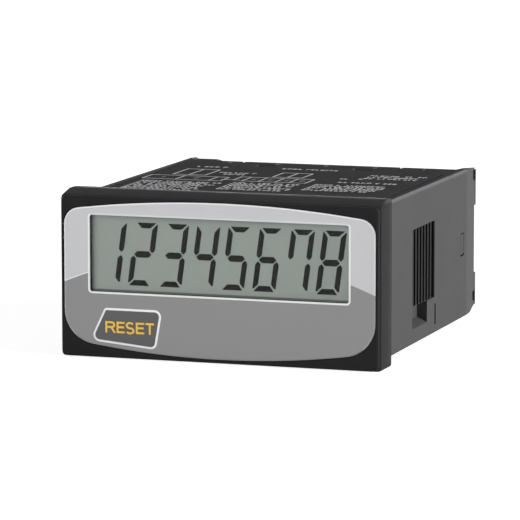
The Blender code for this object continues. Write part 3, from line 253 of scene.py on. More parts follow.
def makeMetalSkin():
    # fine drawn lines and slight tarnish of stamped or plated metal
    tree, start, end = newGroup("metalSkin", [
        ("Clean", "Color", (0.8, 0.8, 0.8, 1.0)), ("Tarnish", "Color", (0.4, 0.35, 0.3, 1.0)),
        ("Amount", "Float", 0.3)], [("Colour", "Color"), ("Height", "Float"), ("Gloss Mask", "Float")])
    coords = addNode(tree, "TexCoord").outputs["Object"]
    stretch = addNode(tree, "Mapping", {"Vector": coords, "Scale": (9000.0, 900.0, 9000.0)})
    lines = addNode(tree, "TexNoise", {"Vector": stretch.outputs["Vector"], "Scale": 1.0, "Detail": 3.0})
    stain = addNode(tree, "TexNoise", {"Vector": coords, "Scale": 700.0, "Detail": 4.0, "Roughness": 0.65})
    amount = math2(tree, "MULTIPLY", stain.outputs["Fac"], start.outputs["Amount"], clamp=True)
    tree.links.new(mixColour(tree, amount, start.outputs["Clean"], start.outputs["Tarnish"]), end.inputs["Colour"])
    tree.links.new(lines.outputs["Fac"], end.inputs["Height"])
    tree.links.new(stain.outputs["Fac"], end.inputs["Gloss Mask"])
    return tree


def makeFibreWeave():
    # glass cloth under the lacquer of a circuit board
    tree, start, end = newGroup("fibreWeave", [
        ("Lacquer", "Color", (0.02, 0.1, 0.05, 1.0)), ("Thread", "Color", (0.04, 0.15, 0.08, 1.0)),
        ("Pitch", "Float", 0.5)], [("Colour", "Color"), ("Height", "Float")])
    coords = addNode(tree, "TexCoord").outputs["Object"]
    scale = math2(tree, "DIVIDE", 1000.0, start.outputs["Pitch"])
    one = addNode(tree, "TexWave", {"Vector": coords, "Scale": scale, "Distortion": 1.0}, bands_direction="X")
    two = addNode(tree, "TexWave", {"Vector": coords, "Scale": scale, "Distortion": 1.0}, bands_direction="Z")
    weave = math2(tree, "MULTIPLY", one.outputs["Fac"], two.outputs["Fac"])
    tree.links.new(mixColour(tree, weave, start.outputs["Lacquer"], start.outputs["Thread"]), end.inputs["Colour"])
    tree.links.new(weave, end.inputs["Height"])
    return tree


mouldGrain = makeMouldGrain()
handling = makeHandling()
edgeRub = makePaintedEdgeHighlight()
recessShade = makeRecessShade(recessReach)
metalSkin = makeMetalSkin()
fibreWeave = makeFibreWeave()


def useGroup(tree, group, values=None):
    node = tree.nodes.new("ShaderNodeGroup")
    node.node_tree = group
    for key, value in (values or {}).items():
        if isinstance(value, bpy.types.NodeSocket):
            tree.links.new(value, node.inputs[key])
        else:
            node.inputs[key].default_value = value
    return node


def plainMaterial(name, base, roughness, **sockets):
    material = bpy.data.materials.new(name)
    material.use_nodes = True
    shader = material.node_tree.nodes["Principled BSDF"]
    shader.inputs["Base Color"].default_value = base
    shader.inputs["Roughness"].default_value = roughness
    for key, value in sockets.items():
        shader.inputs[key.replace("_", " ")].default_value = value
    return material, material.node_tree, shader


def moulded(name, s):
    # a moulded plastic: colour with dust, with a painted edge highlight, a painted paler rear band and painted shade
    # in recesses where set; spark texture in bump, gloss that varies a little
    material, tree, shader = plainMaterial(name, colour(*s["colour"]), s["roughness"])
    shader.inputs["Specular IOR Level"].default_value = s.get("specular", 0.5)
    grain = useGroup(tree, mouldGrain, {"Grain Size": s["grain"], "Soft Size": s.get("soft", 4.0)})
    worn = useGroup(tree, handling, {"Base": colour(*s["colour"]), "Dust": s.get("dust", 0.1)})
    dustAndPaintedLight = worn.outputs["Colour"]
    # painted highlight along the long top edges
    if "edge" in s:
        paintedHighlight = useGroup(tree, edgeRub, {"Half Width": s["edge"][0] * mm, "Top": middleZ + s["edge"][1] * mm,
                                       "Reach": s["edge"][2] * mm})
        dustAndPaintedLight = mixColour(tree, paintedHighlight.outputs["Mask"], dustAndPaintedLight, colour(*s["edgeHighlightColour"]))
    if "strip" in s:  # painted light: a paler band at the rear, where the faces meet the light at another angle
        where = addNode(tree, "SeparateXYZ", {"Vector": addNode(tree, "TexCoord").outputs["Object"]})
        stripStart, stripFull, stripColour = s["strip"]
        rear = addNode(tree, "MapRange", {"Value": where.outputs["Y"], "From Min": frontY + stripStart * mm,
                                          "From Max": frontY + stripFull * mm})
        dustAndPaintedLight = mixColour(tree, rear.outputs["Result"], dustAndPaintedLight, colour(*stripColour))
    # painted shade in the side recesses, the pocket and the top grooves
    if "recess" in s:
        half, front, back, top, bottom = s["recess"]
        pocketTop, pocketShare, pocketBack = s["pocket"]
        paintedShade = useGroup(tree, recessShade, {
            "Half Width": half * mm, "Front": frontY + front * mm, "Back": frontY + back * mm,
            "Top": middleZ + top * mm, "Bottom": middleZ + bottom * mm,
            "Pocket": middleZ + pocketTop * mm, "Pocket Share": pocketShare,
            "Pocket Back": frontY + pocketBack * mm})
        dustAndPaintedLight = mixColour(tree, paintedShade.outputs["Mask"], dustAndPaintedLight, colour(*s["recessColour"]))
    tree.links.new(dustAndPaintedLight, shader.inputs["Base Color"])
    rough = addNode(tree, "MapRange", {"Value": grain.outputs["Gloss Mask"], "From Min": 0.3, "From Max": 0.7,
                                       "To Min": s["roughness"] - s["roughnessSpread"],
                                       "To Max": s["roughness"] + s["roughnessSpread"]})
    tree.links.new(rough.outputs["Result"], shader.inputs["Roughness"])
    bump = addNode(tree, "Bump", {"Height": grain.outputs["Height"], "Strength": s["bump"],
                                  "Distance": s["bumpDepth"] * mm})
    tree.links.new(bump.outputs["Normal"], shader.inputs["Normal"])
    return material


plastics = {
    "bezelPlastic": {"colour": (34, 34, 35), "roughness": 0.66, "roughnessSpread": 0.03, "grain": 0.09,
                     "bump": 0.18, "bumpDepth": 0.008, "dust": 0.04, "specular": 0.06,
                     # painted highlight along the bezel's top edges
                     "edge": (24.0, 12.0, 0.55), "edgeHighlightColour": (86, 86, 88)},
    "casePlastic": {"colour": (72, 72, 73), "roughness": 0.72, "roughnessSpread": 0.03, "grain": 0.11,
                    "bump": 0.24, "bumpDepth": 0.010, "dust": 0.04, "specular": 0.04,
                    # painted highlight along the case's long top edges
                    "edge": (22.5, 11.1, 0.62), "edgeHighlightColour": (112, 112, 114),
                    # painted light: a paler band at the rear
                    "strip": (50.4, 50.7, (80, 80, 81)),
                    # painted shade in the side recesses, the pocket and the top grooves
                    "pocket": (-5.9, 0.10, 33.2),
                    "recess": (22.5, 13.0, 49.3, 11.1, -10.6), "recessColour": (11, 11, 11)},
    # painted shade: a darker copy of the case plastic for its top faces
    "caseTopShade": {"colour": (46, 46, 47), "roughness": 0.72, "roughnessSpread": 0.03, "grain": 0.11,
                  "bump": 0.24, "bumpDepth": 0.010, "dust": 0.01, "specular": 0.022},
    "terminalPlastic": {"colour": (80, 80, 81), "roughness": 0.70, "roughnessSpread": 0.03, "grain": 0.12,
                        "bump": 0.24, "bumpDepth": 0.010, "dust": 0.05, "specular": 0.12},
    "whitePlastic": {"colour": (222, 222, 216), "roughness": 0.5, "roughnessSpread": 0.04, "grain": 0.12,
                     "bump": 0.2, "bumpDepth": 0.01, "dust": 0.05},
    "blackEpoxy": {"colour": (32, 32, 34), "roughness": 0.6, "roughnessSpread": 0.06, "grain": 0.08,
                   "bump": 0.5, "bumpDepth": 0.01, "dust": 0.05},
    # painted shade for the ear slots
    "slotShade": {"colour": (9, 9, 9), "roughness": 0.8, "roughnessSpread": 0.03, "grain": 0.1,
                  "bump": 0.2, "bumpDepth": 0.008, "dust": 0.02, "specular": 0.03},
    "stemPlastic": {"colour": (120, 40, 36), "roughness": 0.45, "roughnessSpread": 0.04, "grain": 0.1,
                    "bump": 0.2, "bumpDepth": 0.008, "dust": 0.05},
    "stripRubber": {"colour": (196, 120, 134), "roughness": 0.75, "roughnessSpread": 0.05, "grain": 0.1,
                    "bump": 0.3, "bumpDepth": 0.01, "dust": 0.08},
    "cellSleeve": {"colour": (92, 120, 150), "roughness": 0.4, "roughnessSpread": 0.05, "grain": 0.2,
                   "bump": 0.15, "bumpDepth": 0.008, "dust": 0.06},
    "capSleeve": {"colour": (52, 52, 80), "roughness": 0.35, "roughnessSpread": 0.05, "grain": 0.2,
                  "bump": 0.15, "bumpDepth": 0.008, "dust": 0.06},
}
made = {name: moulded(name, s) for name, s in plastics.items()}

metals = {  # clean colour, tarnish, how much of it, roughness
    "nickel": ((196, 192, 182), (150, 140, 122), 0.4, 0.30),
    "brass": ((212, 178, 112), (146, 104, 58), 0.4, 0.28),
    "clampSteel": ((188, 190, 192), (140, 138, 134), 0.4, 0.34),
    "screwSteel": ((200, 202, 204), (150, 150, 148), 0.35, 0.26),
}


def metalFinish(name, clean, tarnish, amount, roughness):
    material, tree, shader = plainMaterial(name, colour(*clean), roughness, Metallic=1.0)
    skin = useGroup(tree, metalSkin, {"Clean": colour(*clean), "Tarnish": colour(*tarnish), "Amount": amount})
    tree.links.new(skin.outputs["Colour"], shader.inputs["Base Color"])
    rough = addNode(tree, "MapRange", {"Value": skin.outputs["Gloss Mask"], "From Min": 0.3, "From Max": 0.7,
                                       "To Min": roughness - 0.06, "To Max": roughness + 0.10})
    tree.links.new(rough.outputs["Result"], shader.inputs["Roughness"])
    bump = addNode(tree, "Bump", {"Height": skin.outputs["Height"], "Strength": 0.2, "Distance": 0.006 * mm})
    tree.links.new(bump.outputs["Normal"], shader.inputs["Normal"])
    return material


for name, (clean, tarnish, amount, roughness) in metals.items():
    made[name] = metalFinish(name, clean, tarnish, amount, roughness)

boardSet = {"lacquer": (26, 82, 48), "thread": (44, 104, 66), "pitch": 0.5, "roughness": 0.36}


def makeLaminate(s):
    material, tree, shader = plainMaterial("laminate", colour(*s["lacquer"]), s["roughness"])
    cloth = useGroup(tree, fibreWeave, {"Lacquer": colour(*s["lacquer"]), "Thread": colour(*s["thread"]),
                                        "Pitch": s["pitch"]})
    worn = useGroup(tree, handling, {"Base": cloth.outputs["Colour"], "Dust": 0.05})
    tree.links.new(worn.outputs["Colour"], shader.inputs["Base Color"])
    bump = addNode(tree, "Bump", {"Height": cloth.outputs["Height"], "Strength": 0.3, "Distance": 0.01 * mm})
    tree.links.new(bump.outputs["Normal"], shader.inputs["Normal"])
    return material


made["laminate"] = makeLaminate(boardSet)


# Display glass and its clear pane
glassSet = {
    "glass": (184, 194, 186),
    "segment": (15, 20, 17),
    "pane": 0.10,           # how much of the pane shows as a surface
    "rim": 0.28,            # painted shadow on the left and top edges
    "bottomRim": 0.85,
    "leftShade": (-19.5, -17.9), "topShade": (7.5, 8.7), "bottomShade": (-2.22, -2.06),  # millimetres
    "speck": 26, "glue": 96,                                                             # levels darker
}


def makeDisplayGlass(s):
    material, tree, shader = plainMaterial("displayGlass", colour(*s["glass"]), 0.42, Specular_IOR_Level=0.25)
    place = addNode(tree, "TexCoord").outputs["Object"]
    film = addNode(tree, "TexNoise", {"Vector": place, "Scale": 4000.0, "Detail": 2.0, "Roughness": 0.7})
    broad = addNode(tree, "TexNoise", {"Vector": place, "Scale": 60.0, "Detail": 1.0})
    speck = mixColour(tree, math2(tree, "MULTIPLY", film.outputs["Fac"], 0.10), colour(*s["glass"]),
                      colour(*(v - s["speck"] for v in s["glass"])))
    tint = mixColour(tree, math2(tree, "MULTIPLY", broad.outputs["Fac"], 0.12), speck,
                     colour(s["glass"][0] + 6, s["glass"][1] + 2, s["glass"][2] + 10))
    where = addNode(tree, "SeparateXYZ", {"Vector": place})
    fromLeft = addNode(tree, "MapRange", {"Value": where.outputs["X"], "From Min": s["leftShade"][0] * mm,
                                          "From Max": s["leftShade"][1] * mm, "To Min": 1.0, "To Max": 0.0},
                       interpolation_type="SMOOTHSTEP")
    fromTop = addNode(tree, "MapRange", {"Value": where.outputs["Z"], "From Min": middleZ + s["topShade"][0] * mm,
                                         "From Max": middleZ + s["topShade"][1] * mm},
                      interpolation_type="SMOOTHSTEP")
    rim = math2(tree, "MULTIPLY", math2(tree, "MAXIMUM", fromLeft.outputs["Result"], fromTop.outputs["Result"]),
                s["rim"], clamp=True)
    fromBottom = addNode(tree, "MapRange", {
        "Value": where.outputs["Z"], "From Min": middleZ + s["bottomShade"][0] * mm,
        "From Max": middleZ + s["bottomShade"][1] * mm, "To Min": s["bottomRim"], "To Max": 0.0})
    rim = math2(tree, "MAXIMUM", rim, fromBottom.outputs["Result"])
    edgeShaded = mixColour(tree, rim, tint, colour(*(v - s["glue"] for v in s["glass"])))  # painted shadow along the edges
    tree.links.new(edgeShaded, shader.inputs["Base Color"])
    return material


def makePane(s):
    material, tree, shader = plainMaterial("clearPane", colour(14, 16, 15), 0.04, Alpha=s["pane"], IOR=1.45)
    wiped = addNode(tree, "TexNoise", {"Vector": addNode(tree, "TexCoord").outputs["Object"], "Scale": 500.0,
                                       "Detail": 3.0})
    rough = addNode(tree, "MapRange", {"Value": wiped.outputs["Fac"], "To Min": 0.02, "To Max": 0.07})
    tree.links.new(rough.outputs["Result"], shader.inputs["Roughness"])
    return material


made["displayGlass"] = makeDisplayGlass(glassSet)
made["clearPane"] = makePane(glassSet)

wears = {
    "front_bezel": "bezelPlastic", "body_case": "casePlastic", "terminal_block": "terminalPlastic",
    "display_window": "clearPane", "lcd_panel": "displayGlass", "lcd_holder": "whitePlastic",
    "contact_strip_top": "stripRubber", "contact_strip_bottom": "stripRubber",
    "display_board": "laminate", "main_board": "laminate", "terminal_board": "laminate",
    "reset_plunger": "whitePlastic", "reset_switch": "blackEpoxy", "switch_stem": "stemPlastic",
    "counter_chip": "blackEpoxy", "board_header": "blackEpoxy", "input_isolator": "blackEpoxy",
    "battery_cell": "cellSleeve", "cell_tab_front": "nickel", "cell_tab_rear": "nickel",
    "smoothing_capacitor": "capSleeve", "crystal_can": "nickel",
}
for number in range(1, 11):
    wears[f"terminal_contact_{number}"] = "brass"
    wears[f"terminal_clamp_{number}"] = "clampSteel"
    wears[f"terminal_screw_{number}"] = "screwSteel"


def dress(node, material):
    node.data.materials.clear()
    node.data.materials.append(material)


for nodeName, materialName in wears.items():
    dress(nodes[nodeName], made[materialName])
print("CAD nodes dressed")


# Mesh helpers
def shadeByAngle(bm, degrees=32.0):
    # smooth faces with sharp edges where the surface turns
    limit = math.radians(degrees)
    for face in bm.faces:
        face.smooth = True
    for edge in bm.edges:
        edge.smooth = len(edge.link_faces) == 2 and edge.calc_face_angle(0.0) < limit


def pieceFrom(name, bm, materials, soft=None):
    # a finished piece that rides with the fixed body
    mesh = bpy.data.meshes.new(name)
    bmesh.ops.recalc_face_normals(bm, faces=bm.faces)
    if soft:
        shadeByAngle(bm, soft)
    bm.to_mesh(mesh)
    bm.free()
    piece = bpy.data.objects.new(name, mesh)
    bpy.context.scene.collection.objects.link(piece)
    for material in materials if isinstance(materials, list) else [materials]:
        mesh.materials.append(material)
    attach(piece, "counter")
    return piece


def addBox(bm, left, right, front, back, bottom, top):
    # a closed box between limits in millimetres
    addSlab(bm, [(left, bottom), (right, bottom), (right, top), (left, top)], front, back)


def merged(name):
    # a node's own mesh with its corners joined, to be refined
    bm = bmesh.new()
    bm.from_mesh(nodes[name].data)
    bmesh.ops.remove_doubles(bm, verts=bm.verts, dist=0.0005 * mm)
    return bm


def inside(point, outline):
    x, z = point
    hit = False
    for (ax, az), (bx, bz) in zip(outline, outline[1:] + outline[:1]):
        if (az > z) != (bz > z) and x < (bx - ax) * (z - az) / (bz - az) + ax:
            hit = not hit
    return hit


def grown(corners, amount):
    # corners (x, z, radius) with every edge moved outward
    points = [Vector(c[:2]) for c in corners]
    count = len(points)
    sign = 1 if sum(points[i].cross(points[(i + 1) % count]) for i in range(count)) > 0 else -1
    out = []
    for i in range(count):
        normals = []
        for a, b in ((points[i - 1], points[i]), (points[i], points[(i + 1) % count])):
            along = (b - a).normalized()
            normals.append(Vector((along.y, -along.x)) * sign)
        moved = points[i] + (normals[0] + normals[1]) * amount / (1 + normals[0].dot(normals[1]))
        out.append((moved.x, moved.y, max(corners[i][2] + amount, 0.05)))
    return out


def strokeOutline(path, width):
    # a line of some width, as a closed outline
    points = [Vector(p) for p in path]
    sides = ([], [])
    for i, here in enumerate(points):
        along = (points[min(i + 1, len(points) - 1)] - points[max(i - 1, 0)]).normalized()
        across = Vector((-along.y, along.x)) * width / 2
        sides[0].append(tuple(here + across))
        sides[1].append(tuple(here - across))
    return sides[0] + sides[1][::-1]


def addSlab(bm, outline, front, back):
    # a closed slab between two depths in millimetres, from an outline of (x, z) points
    rings = [[bm.verts.new(spot(x, y, z)) for x, z in outline] for y in (front, back)]
    bm.faces.new(rings[0])
    bm.faces.new(list(reversed(rings[1])))
    count = len(outline)
    for i in range(count):
        j = (i + 1) % count
        bm.faces.new((rings[0][i], rings[1][i], rings[1][j], rings[0][j]))


def roundedOutline(corners, steps=6):
    # corners (x, z, radius), anticlockwise or clockwise, each turned into an arc
    count = len(corners)
    here = [Vector(c[:2]) for c in corners]
    before = [here[i - 1] - here[i] for i in range(count)]
    after = [here[(i + 1) % count] - here[i] for i in range(count)]
    half = [before[i].angle(after[i]) / 2 for i in range(count)]
    reach = [corners[i][2] / math.tan(half[i]) for i in range(count)]
    points = []
    for i in range(count):
        wanted = max((reach[i] + reach[i - 1]) / before[i].length,
                     (reach[i] + reach[(i + 1) % count]) / after[i].length, 1.0)
        run = reach[i] / wanted
        if run <= 0:
            points.append(tuple(here[i]))
            continue
        middle = here[i] + (before[i].normalized() + after[i].normalized()).normalized() * (run / math.cos(half[i]))
        start = here[i] + before[i].normalized() * run - middle
        end = here[i] + after[i].normalized() * run - middle
        sweep = start.angle_signed(end)
        for k in range(steps + 1):
            turn = -sweep * k / steps
            points.append((middle.x + start.x * math.cos(turn) - start.y * math.sin(turn),
                           middle.y + start.x * math.sin(turn) + start.y * math.cos(turn)))
    return points


def box2(left, right, bottom, top, radius, steps=6):
    return roundedOutline([(left, bottom, radius), (right, bottom, radius), (right, top, radius),
                           (left, top, radius)], steps)


# Printed overlay: a light upper zone, a darker lower zone, a white window border
overlaySet = {
    "side": 23.30, "top": 11.0, "bottom": -11.38,
    "topCorner": 2.4, "bottomCorner": 4.9, "topBow": 7.4, "bottomBow": 7.9,
    "front": 0.05, "back": 0.25, "keyFront": 0.0, "edgeLine": 0.19, "edgeDrop": 0.045, "keyLine": 0.31,
    "key": [(-17.04, -4.86, 0.30), (-19.20, -9.36, 0.84), (-9.51, -10.29, 0.80), (-8.57, -4.86, 0.84)],
    "window": (-19.4, 19.4, -2.41, 8.65), "windowCorner": 0.35, "border": 0.27,
    "boundaryPeak": 3.76, "boundaryLine": 0.15, "boundaryFall": 0.00908,
    "edgeTurn": -9.0,       # below this the edge line has the zone's own colour
    "light": (208, 208, 211), "dark": (140, 140, 141), "white": (244, 245, 246),
    "keyDark": (79, 79, 80), "amber": (250, 199, 50), "edgeHighlightMid": (170, 170, 171), "borderTopShade": (224, 224, 227),
}


def overlayOutline(s, grow=0.0, steps=16):
    side, top, bottom = s["side"], s["top"], s["bottom"]
    topBow, bottomBow = math.radians(s["topBow"]), math.radians(s["bottomBow"])
    topRun, bottomRun = side - s["topCorner"], side - s["bottomCorner"]
    topPeak = top + topRun * math.tan(topBow / 2) + grow
    bottomPeak = bottom - bottomRun * math.tan(bottomBow / 2) - grow
    side += grow
    topCorner = topPeak - side * math.tan(topBow)
    bottomCorner = bottomPeak + side * math.tan(bottomBow)
    upper, lower = s["topCorner"] + grow, s["bottomCorner"] + grow
    return roundedOutline([(-side, bottomCorner, lower), (0, bottomPeak, bottomRun / math.tan(bottomBow)),
                           (side, bottomCorner, lower), (side, topCorner, upper),
                           (0, topPeak, topRun / math.tan(topBow)), (-side, topCorner, upper)], steps)


def printMaterial(name, levels, roughness=0.34, specular=0.35):
    material, tree, shader = plainMaterial(name, colour(*levels), roughness, Specular_IOR_Level=specular)
    worn = useGroup(tree, handling, {"Base": colour(*levels), "Dust": 0.05, "Patch Size": 9.0})
    tree.links.new(worn.outputs["Colour"], shader.inputs["Base Color"])
    grain = useGroup(tree, mouldGrain, {"Grain Size": 0.07, "Soft Size": 5.0})
    bump = addNode(tree, "Bump", {"Height": grain.outputs["Height"], "Strength": 0.12, "Distance": 0.004 * mm})
    tree.links.new(bump.outputs["Normal"], shader.inputs["Normal"])
    return material


printNames = {"light": "lightPrint", "dark": "darkPrint", "white": "whitePrint", "keyDark": "keyPrint",
              "amber": "amberPrint", "edgeHighlightMid": "edgeHighlightPrint", "borderTopShade": "borderTopShadePrint"}
for key, name in printNames.items():
    made[name] = printMaterial(name, overlaySet[key])
made["segmentPrint"] = printMaterial("segmentPrint", glassSet["segment"], 0.5, 0.16)


# Digits of the display, as lit segments on the glass
digitSet = {
    "pitch": 4.69, "last": 16.50, "count": 8, "middle": 3.11, "slant": 7.8,
    "depth": 0.985, "film": 0.012, "spread": 0.075,
}
segmentShapes = {  # outlines in the upright cell, millimetres from its middle
    "a": [(-1.28, 4.50), (1.28, 4.50), (0.62, 3.86), (-0.62, 3.86)],
    "g": [(-1.22, 0.0), (-0.84, 0.39), (0.84, 0.39), (1.22, 0.0), (0.84, -0.39), (-0.84, -0.39)],
    "d": [(-1.37, -4.46), (1.37, -4.46), (0.80, -3.79), (-0.80, -3.79)],
    "b": [(1.66, 4.28), (1.68, 0.68), (1.38, 0.31), (1.03, 0.66), (1.03, 3.55), (1.58, 4.22)],
    "c": [(1.38, -0.31), (1.68, -0.68), (1.66, -4.05), (1.56, -4.05), (1.03, -3.45), (1.03, -0.66)],
}
segmentShapes["f"] = [(-x, z) for x, z in reversed(segmentShapes["b"])]
segmentShapes["e"] = [(-x, z) for x, z in reversed(segmentShapes["c"])]
litSegments = {1: "bc", 2: "abged", 3: "abgcd", 4: "fgbc", 5: "afgcd", 6: "afgedc", 7: "fabc", 8: "abcdefg"}


def makeDigits(s):
    bm = bmesh.new()
    lean = math.tan(math.radians(s["slant"]))
    for value in range(1, s["count"] + 1):
        centre = s["last"] - s["pitch"] * (s["count"] - value)
        for letter in litSegments[value]:
            shape = [(centre + x + z * lean, s["middle"] + z) for x, z in segmentShapes[letter]]
            shape = roundedOutline(grown([(x, z, -0.035) for x, z in shape], s["spread"]), 2)
            addSlab(bm, shape, s["depth"], s["depth"] + s["film"])
    pieceFrom("digit_segments", bm, made["segmentPrint"])


makeDigits(digitSet)
print("digits made")


def arcPath(x, z, reachX, reachZ, first, last, steps=10):
    angles = [math.radians(first + (last - first) * k / steps) for k in range(steps + 1)]
    return [(x + reachX * math.cos(a), z + reachZ * math.sin(a)) for a in angles]


wordSet = {  # the key's word: heights, then each letter's place across
    "stroke": 0.275, "low": -8.27, "high": -6.62,
    "letterR": -17.05, "bowlStart": -16.95, "bowl": (-16.09, 0.40),
    "leg": (-16.32, -15.98, -15.46, -15.80), "firstE": (-15.33, -14.10), "middleBar": (0.08, 0.03),
    "letterS": -13.29, "upperS": (-7.11, 0.50, 0.385, 28, 270, 14), "lowerS": (-7.86, 0.535, 0.375, 90, -152, 14),
    "secondE": (-12.40, -11.13), "letterT": (-10.92, -9.64), "stemT": -10.28,
}


def resetWord(s):
    # the key's word in plain capitals, as outlines that may overlap
    w, low, high = s["stroke"], s["low"], s["high"]
    middle = (low + high) / 2

    def bar(left, right, bottom, top):
        return [(left, bottom), (right, bottom), (right, top), (left, top)]

    def letterE(left, right):
        short, lift = s["middleBar"]
        return [bar(left, left + w, low, high), bar(left, right, high - w, high), bar(left, right, low, low + w),
                bar(left, right - short, middle - w / 2 + lift, middle + w / 2 + lift)]

    across, reach = s["bowl"]
    bowl = ([(s["bowlStart"], high - w / 2)]
            + arcPath(across, (high - w / 2 + middle) / 2, reach, (high - w / 2 - middle) / 2, 90, -90)
            + [(s["bowlStart"], middle)])
    innerTop, outerTop, outerFoot, innerFoot = s["leg"]
    letters = [bar(s["letterR"], s["letterR"] + w, low, high), strokeOutline(bowl, w),
               [(innerTop, middle), (outerTop, middle), (outerFoot, low), (innerFoot, low)]]
    letters += letterE(*s["firstE"])
    upper, lower = arcPath(s["letterS"], *s["upperS"]), arcPath(s["letterS"], *s["lowerS"])
    letters.append(strokeOutline(upper + lower[1:], w))
    letters += letterE(*s["secondE"])
    left, right = s["letterT"]
    letters += [bar(left, right, high - w, high), bar(s["stemT"] - w / 2, s["stemT"] + w / 2, low, high)]
    return letters


def makeOverlay(s, word):
    left, right, bottom, top = s["window"]
    wide = s["border"]
    outline, edge = overlayOutline(s), overlayOutline(s, -s["edgeLine"])
    window = box2(*s["window"], s["windowCorner"])
    border = box2(left - wide, right + wide, bottom - wide, top + wide, s["windowCorner"] + wide)
    keyLine = roundedOutline(grown(s["key"], s["keyLine"] / 2), 8)
    keyField = roundedOutline(grown(s["key"], -s["keyLine"] / 2), 8)
    letters = resetWord(word)
    curve = [(x / 2, s["boundaryPeak"] - s["boundaryFall"] * (x / 2) ** 2) for x in range(-50, 51)]
    lineCurve = [(x, z + s["boundaryLine"]) for x, z in curve if x < 0]

    points, edges = [], []
    for loop in [outline, edge, window, border, keyLine, keyField] + letters:
        first = len(points)
        points += [Vector(p) for p in loop]
        edges += [(first + i, first + (i + 1) % len(loop)) for i in range(len(loop))]
    for run in (curve, lineCurve):
        first = len(points)
        points += [Vector(p) for p in run]
        edges += [(first + i, first + i + 1) for i in range(len(run) - 1)]
    spots, _, triangles = delaunay_2d_cdt(points, edges, [], 0, 1e-5)[:3]

    raised = roundedOutline(grown(s["key"], -s["keyLine"] / 2 + 0.02), 8)
    within = overlayOutline(s, -0.02)
    bm = bmesh.new()
    front, back = [], []
    for p in spots:
        depth = s["keyFront"] if inside(p, raised) else s["front"]
        if not inside(p, within):
            depth = s["front"] + s["edgeDrop"]
        front.append(bm.verts.new(spot(p.x, depth, p.y)))
        back.append(bm.verts.new(spot(p.x, s["back"], p.y)))
    kinds = list(printNames)
    for triangle in triangles:
        middle = sum((spots[i] for i in triangle), Vector((0, 0))) / 3
        if not inside(middle, outline) or inside(middle, window):
            continue
        below = middle.y < s["boundaryPeak"] - s["boundaryFall"] * middle.x ** 2
        if any(inside(middle, letter) for letter in letters):
            kind = "amber"
        elif inside(middle, keyField):
            kind = "keyDark"
        elif inside(middle, keyLine) or inside(middle, border):
            # painted shade: the border's top run takes a darker copy of the white print
            kind = "borderTopShade" if middle.y > top + 0.02 and abs(middle.x) < right else "white"
        # painted highlight: above the zone boundary the overlay's edge line is white, below it a lighter grey down
        # to edgeTurn
        elif not inside(middle, edge):
            kind = "white" if not below else "edgeHighlightMid" if middle.y > s["edgeTurn"] else "dark"
        else:
            line = middle.x < -0.5 and middle.y < (s["boundaryPeak"] + s["boundaryLine"]
                                                   - s["boundaryFall"] * middle.x ** 2)
            kind = "dark" if below else "white" if line else "light"
        bm.faces.new([front[i] for i in triangle]).material_index = kinds.index(kind)
        bm.faces.new([back[i] for i in reversed(triangle)]).material_index = kinds.index("light")
    behind = {a: b for a, b in zip(front, back)}
    for rim in [e for e in bm.edges if len(e.link_faces) == 1 and e.verts[0] in behind]:
        a, b = rim.verts
        bm.faces.new((a, b, behind[b], behind[a])).material_index = kinds.index("light")
    bmesh.ops.delete(bm, geom=[v for v in bm.verts if not v.link_faces], context="VERTS")
    piece = pieceFrom("overlay_print", bm, [made[printNames[kind]] for kind in kinds])
    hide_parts("front_overlay")


makeOverlay(overlaySet, wordSet)
print("overlay printed")


# Bezel: the CAD bezel with a finely worked front edge and a top that rises to its rim
bezelSet = {
    "cadHalf": (24.0, 12.0), "cadCorner": 1.3, "cadEase": (0.28, 0.73, 0.60), "depth": 5.8,
    "frontCorner": 0.90, "rimCorner": 0.40,
    "levels": [  # depth, then how far the side, top and bottom lie inside the format
        (0.00, 0.40, 0.80, 0.14), (0.03, 0.32, 0.76, 0.12), (0.12, 0.25, 0.73, 0.10), (0.30, 0.21, 0.71, 0.09),
        (0.58, 0.19, 0.70, 0.08), (0.62, 0.08, 0.64, 0.03), (0.72, 0.03, 0.61, 0.01), (0.92, 0.01, 0.57, 0.0),
        (3.60, 0.0, 0.03, 0.0), (3.90, 0.0, 0.0, 0.0), (5.62, 0.0, 0.0, 0.0), (5.80, 0.12, 0.06, 0.06)],
}


def cornerLoop(side, bottom, top, radius, steps=4):
    # a rounded rectangle's points, corner by corner
    points = []
    for x, z, first in ((side, top, 0), (-side, top, 90), (-side, bottom, 180), (side, bottom, 270)):
        cornerX, cornerZ = x - math.copysign(radius, x), z - math.copysign(radius, z)
        for k in range(steps + 1):
            turn = math.radians(first + 90 * k / steps)
            points.append((cornerX + radius * math.cos(turn), cornerZ + radius * math.sin(turn)))
    return points


